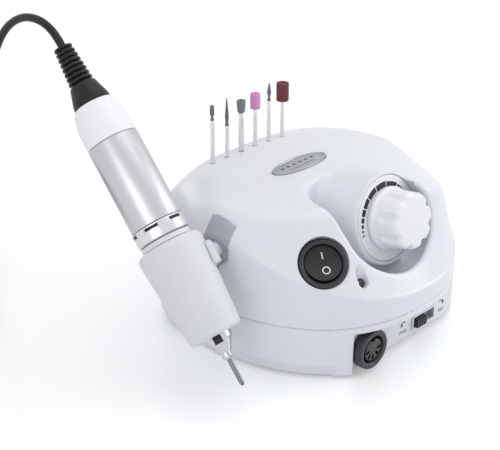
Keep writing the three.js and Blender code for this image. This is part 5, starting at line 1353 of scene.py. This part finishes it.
# %% [markdown]
# ## Feet, gland and plug
# Under the unit are four rubber feet, and at the back is the gland for the mains lead, which the
# photograph doesn't show. All of them are turned.

# %% Feet and gland
foot_rubber = finish("foot_rubber", srgb(40, 40, 42), 0.8, grain=0.06, grain_size=0.4)
for name, x, y in FEET:
    lathe(f"rubber_foot_{name}", [(0, 0), (6.5, 0), (7, 0.5), (7, 1.9), (6.5, 2.4), (0, 2.4)],
          0.3, 48, offset(x, y), "control_unit", foot_rubber, f"foot_{name}", "foot_rubber")
lathe("mains_bush", [
    (3, -9), (5, -9), (5, 0.3), (7, 0.3), (7, 1.8), (6.4, 3.3), (3, 3.3), (3, -9)], 0.4, 64,
    GLAND, "control_unit", soft_rubber, "mains_gland", "soft_black")

# %% [markdown]
# At the cord's end lies its round plug. The black shell has a ribbed tail, and in it sits a metal
# sleeve with five pins, which are joined to it as one mesh.

# %% The plug
PLUG = Matrix.Translation((cord_end + (0, -0.3, 0)).tolist()) @ spun(90, "X")
tail = [(2.3, 0), (4, 0)]
for i in range(4):
    start = 1.2 + i * 2.6
    tail += [(4.2 + 0.05 * i, start), (4.2 + 0.05 * i, start + 1.4), (3.5, start + 1.6),
             (3.5, start + 2.4)]
plug_body = lathe("plug_body", tail + [
    (4.7, 12), (7.8, 13.4), (7.8, 31.3), (7.1, 32), (6.9, 32), (6.9, 14.8), (2.3, 14.8),
    (2.3, 0)], 0.4, 64, PLUG, "control_unit", black_plastic, "din_plug_shell", "black_plastic")
plug_sleeve = turned(rounded([
    (0, 15.1), (6.6, 15.1), (6.6, 43), (5.9, 43), (5.9, 33.4), (0, 33.4)], 0.25), 64, PLUG)
pin_profile = rounded([(0, 33), (0.7, 33), (0.7, 41.8), (0, 42.3)], 0.4)
pins = [turned(pin_profile, 16, PLUG @ offset(3.4 * cos(around), 3.4 * sin(around)))
        for around in PIN_ANGLES]
plug_core = new_piece("plug_sleeve", *joined(plug_sleeve, *pins), "control_unit", polished,
                      ["din_plug_core"], "polished_steel")
print("feet, gland and plug are made")

# %% [markdown]
# ## Printed marks
# The dial has a row of black blocks that grow round it, the rocker has its I and O, and the
# panel has two small bent arrows with a word under each. The photograph's own words are too
# small to read, so FWD and REV are a guess. Ink could be a pattern in the material, but a very
# thin raised sheet stays sharp from every side and moves with its piece.

# %% Marks
ink_black = finish("ink_black", srgb(28, 28, 31), 0.45, grain=0.003)
ink_white = finish("ink_white", srgb(236, 237, 240), 0.5, grain=0.003)
INK = 0.06


def marks(name, outlines, height, matrix, body, material, slot):
    """Thin raised prints: each outline is drawn in a frame's x and y, on a face of that height."""
    sheets = []
    for outline in outlines:
        low_face = [(x, y, height(x, y)) for x, y in outline]
        high_face = [(x, y, z + INK) for x, y, z in low_face]
        sheets.append((low_face + high_face, stacked(2, len(outline))))
    points, faces = joined(*sheets)
    new_piece(name, moved(points, matrix), faces, body, material, slot=slot)


def arc_block(inner, outer, start, end, steps=6):
    """A block between two radii and two angles in degrees."""
    around = [radians(start + (end - start) * i / steps) for i in range(steps + 1)]
    return ([(inner * cos(a), inner * sin(a)) for a in reversed(around)]
            + [(outer * cos(a), outer * sin(a)) for a in around])


SCALE_START, SCALE_OUTER = 191.0, 19.9
blocks, at = [], SCALE_START
for length, thick, gap in (
    (3.0, 1.2, 3.6), (3.2, 1.4, 3.2), (5.2, 1.7, 2.8), (7.5, 2.1, 2.2), (11, 2.4, 1.8),
    (16, 2.6, 1.7), (21, 2.8, 1.7), (24, 2.9, 1.7), (26, 3.0, 1.7), (28, 3.0, 1.7),
    (30, 3.0, 1.7),
):
    middle = SCALE_OUTER - 0.3 * (SCALE_START - at) / 20 - thick / 2
    blocks.append(arc_block(middle - thick / 2, middle + thick / 2, at - length, at, 8))
    at -= length + gap
marks("dial_scale", blocks, lambda x, y: 0, KNOB, "control_unit", ink_black, "black_plastic")

# The rocker's marks lie on the curved face of the button and tilt with it.
bar = [(-0.3, 2.3), (0.25, 2.3), (0.15, 3.2), (0.1, 4.1), (0, 5), (-0.1, 5.6),
       (-0.65, 5.6), (-0.55, 5), (-0.45, 4.1), (-0.4, 3.2)]
circle = [[(x + 1.1, y - 3.6) for x, y in arc_block(1.5, 2.0, 15 * i, 15 * i + 15, 2)]
          for i in range(24)]
marks("rocker_signs", [bar, *circle], lambda x, y: valley_height(y), BUTTON,
      "power_rocker", ink_white, "knob_white")


def arrow(left):
    """A bent arrow: nearly half a turn and a head, mirrored for the other direction."""
    arc = [arc_block(1.15, 1.75, 20 + 20 * i, 40 + 20 * i, 2) for i in range(8)]
    head = [(-2.55, 0.3), (-0.35, 0.3), (-1.45, -1.5)]
    shapes = [*arc, head]
    if not left:
        shapes = [[(-x, y) for x, y in reversed(shape)] for shape in shapes]
    return shapes


for name, x, left in (("turn_mark_left", 2.2, True), ("turn_mark_right", 33.4, False)):
    marks(name, arrow(left), lambda x, y: 0, on_panel(x, 11.4), "control_unit", ink_black,
          "black_plastic")


def lettering(name, words, height, matrix, body, material, slot):
    """Plain capitals as a thin raised print, centred on a frame."""
    text = bpy.data.curves.new(name, "FONT")
    text.body = words
    text.size = height * 1.35
    text.align_x = "CENTER"
    text.extrude = INK / 2
    text.resolution_u = 3
    holder = bpy.data.objects.new(name, text)
    scene.collection.objects.link(holder)
    bpy.context.view_layer.update()
    mesh = bpy.data.meshes.new_from_object(holder.evaluated_get(
        bpy.context.evaluated_depsgraph_get()))
    bpy.data.objects.remove(holder)
    bpy.data.curves.remove(text)
    points = [(v.co.x, v.co.y, v.co.z + INK / 2) for v in mesh.vertices]
    faces = [tuple(face.vertices) for face in mesh.polygons]
    bpy.data.meshes.remove(mesh)
    new_piece(name, moved(points, matrix), faces, body, material, slot=slot)


for name, words, x in (("letters_left", "FWD", 2.2), ("letters_right", "REV", 33.4)):
    lettering(name, words, 1.9, on_panel(x, 6.2), "control_unit", ink_black, "black_plastic")

# The badge carries a row of plain dots and a dotted line under it, no name.
dots = [[(x + 0.85 * cos(a), 1.6 + 1.0 * sin(a))
         for a in np.linspace(0, 2 * pi, 12, endpoint=False)]
        for x in (-11, -6.6, -2.2, 2.2, 6.6, 11)]
dots += [[(x + 0.42 * cos(a), -2.6 + 0.5 * sin(a))
          for a in np.linspace(0, 2 * pi, 8, endpoint=False)] for x in np.arange(-8, 8.1, 1.6)]
marks("badge_dots", dots, lambda x, y: 0.9, BADGE_PRINT, "control_unit", ink_black, "badge_silver")
print("marks are drawn")

# %% [markdown]
# ## What is inside
# The closed unit hides a transformer, a circuit board with its capacitor and heat sink, the
# potentiometer and the screws, and the handpiece hides its motor and bearings. Their CAD shapes
# are right as they are, so they stay and only get their finishes: wound copper, laminated iron,
# green lacquer, cast aluminium.

# %% Finishes of the hidden pieces
WAVE_WIDTH = 0.314  # the width of one wave at a scale of 1


def striped(name, color, roughness, pitch, depth, metallic, direction="Z"):
    """A finish with fine even ridges, such as wound wire or stacked sheets."""
    material = finish(name, color, roughness, grain=0.01, metallic=metallic, mottle=0.08)
    tree = material.node_tree
    wave = add_node(tree, "TexWave", Scale=WAVE_WIDTH / (pitch * MM))
    wave.bands_direction = direction
    wave.wave_profile = "SIN"
    place = next(n for n in tree.nodes if n.type == "TEX_COORD")
    tree.links.new(place.outputs["Object"], wave.inputs["Vector"])
    bump = next(n for n in tree.nodes if n.type == "BUMP")
    ridges = add_node(tree, "Bump", Strength=0.8, Distance=depth * MM)
    tree.links.new(wave.outputs["Fac"], ridges.inputs["Height"])
    tree.links.new(ridges.outputs[0], bump.inputs["Normal"])
    return material


inside_looks = {
    striped("laminated_iron", srgb(92, 95, 100), 0.45, 0.8, 0.08, 0.8, "Y"): ["transformer_core"],
    striped("wound_copper", srgb(168, 92, 48), 0.35, 0.7, 0.25, 0.75): ["transformer_coil"],
    finish("board_green", srgb(32, 108, 62), 0.35, mottle=0.1): ["circuit_board"],
    finish("sleeve_blue", srgb(40, 52, 92), 0.35, mottle=0.05): ["smoothing_capacitor"],
    finish("cast_aluminium", srgb(180, 183, 187), 0.42, grain=0.05, metallic=0.95): [
        "heat_sink", "potentiometer_shaft"],
    finish("tin_plate", srgb(146, 150, 155), 0.4, grain=0.02, metallic=0.9): [
        "potentiometer", *(f"case_screw_{a}_{b}" for a in ("front", "back")
                           for b in ("left", "right"))],
    finish("motor_iron", srgb(88, 91, 96), 0.42, grain=0.02, metallic=0.85): ["motor_can"],
    polished: ["front_bearing", "rear_bearing", "spindle_shaft"],
}
for material, names in inside_looks.items():
    for name in names:
        holder = nodes[name]
        holder.data.materials.clear()
        holder.data.materials.append(material)
print("finished", sum(len(names) for names in inside_looks.values()), "hidden pieces")
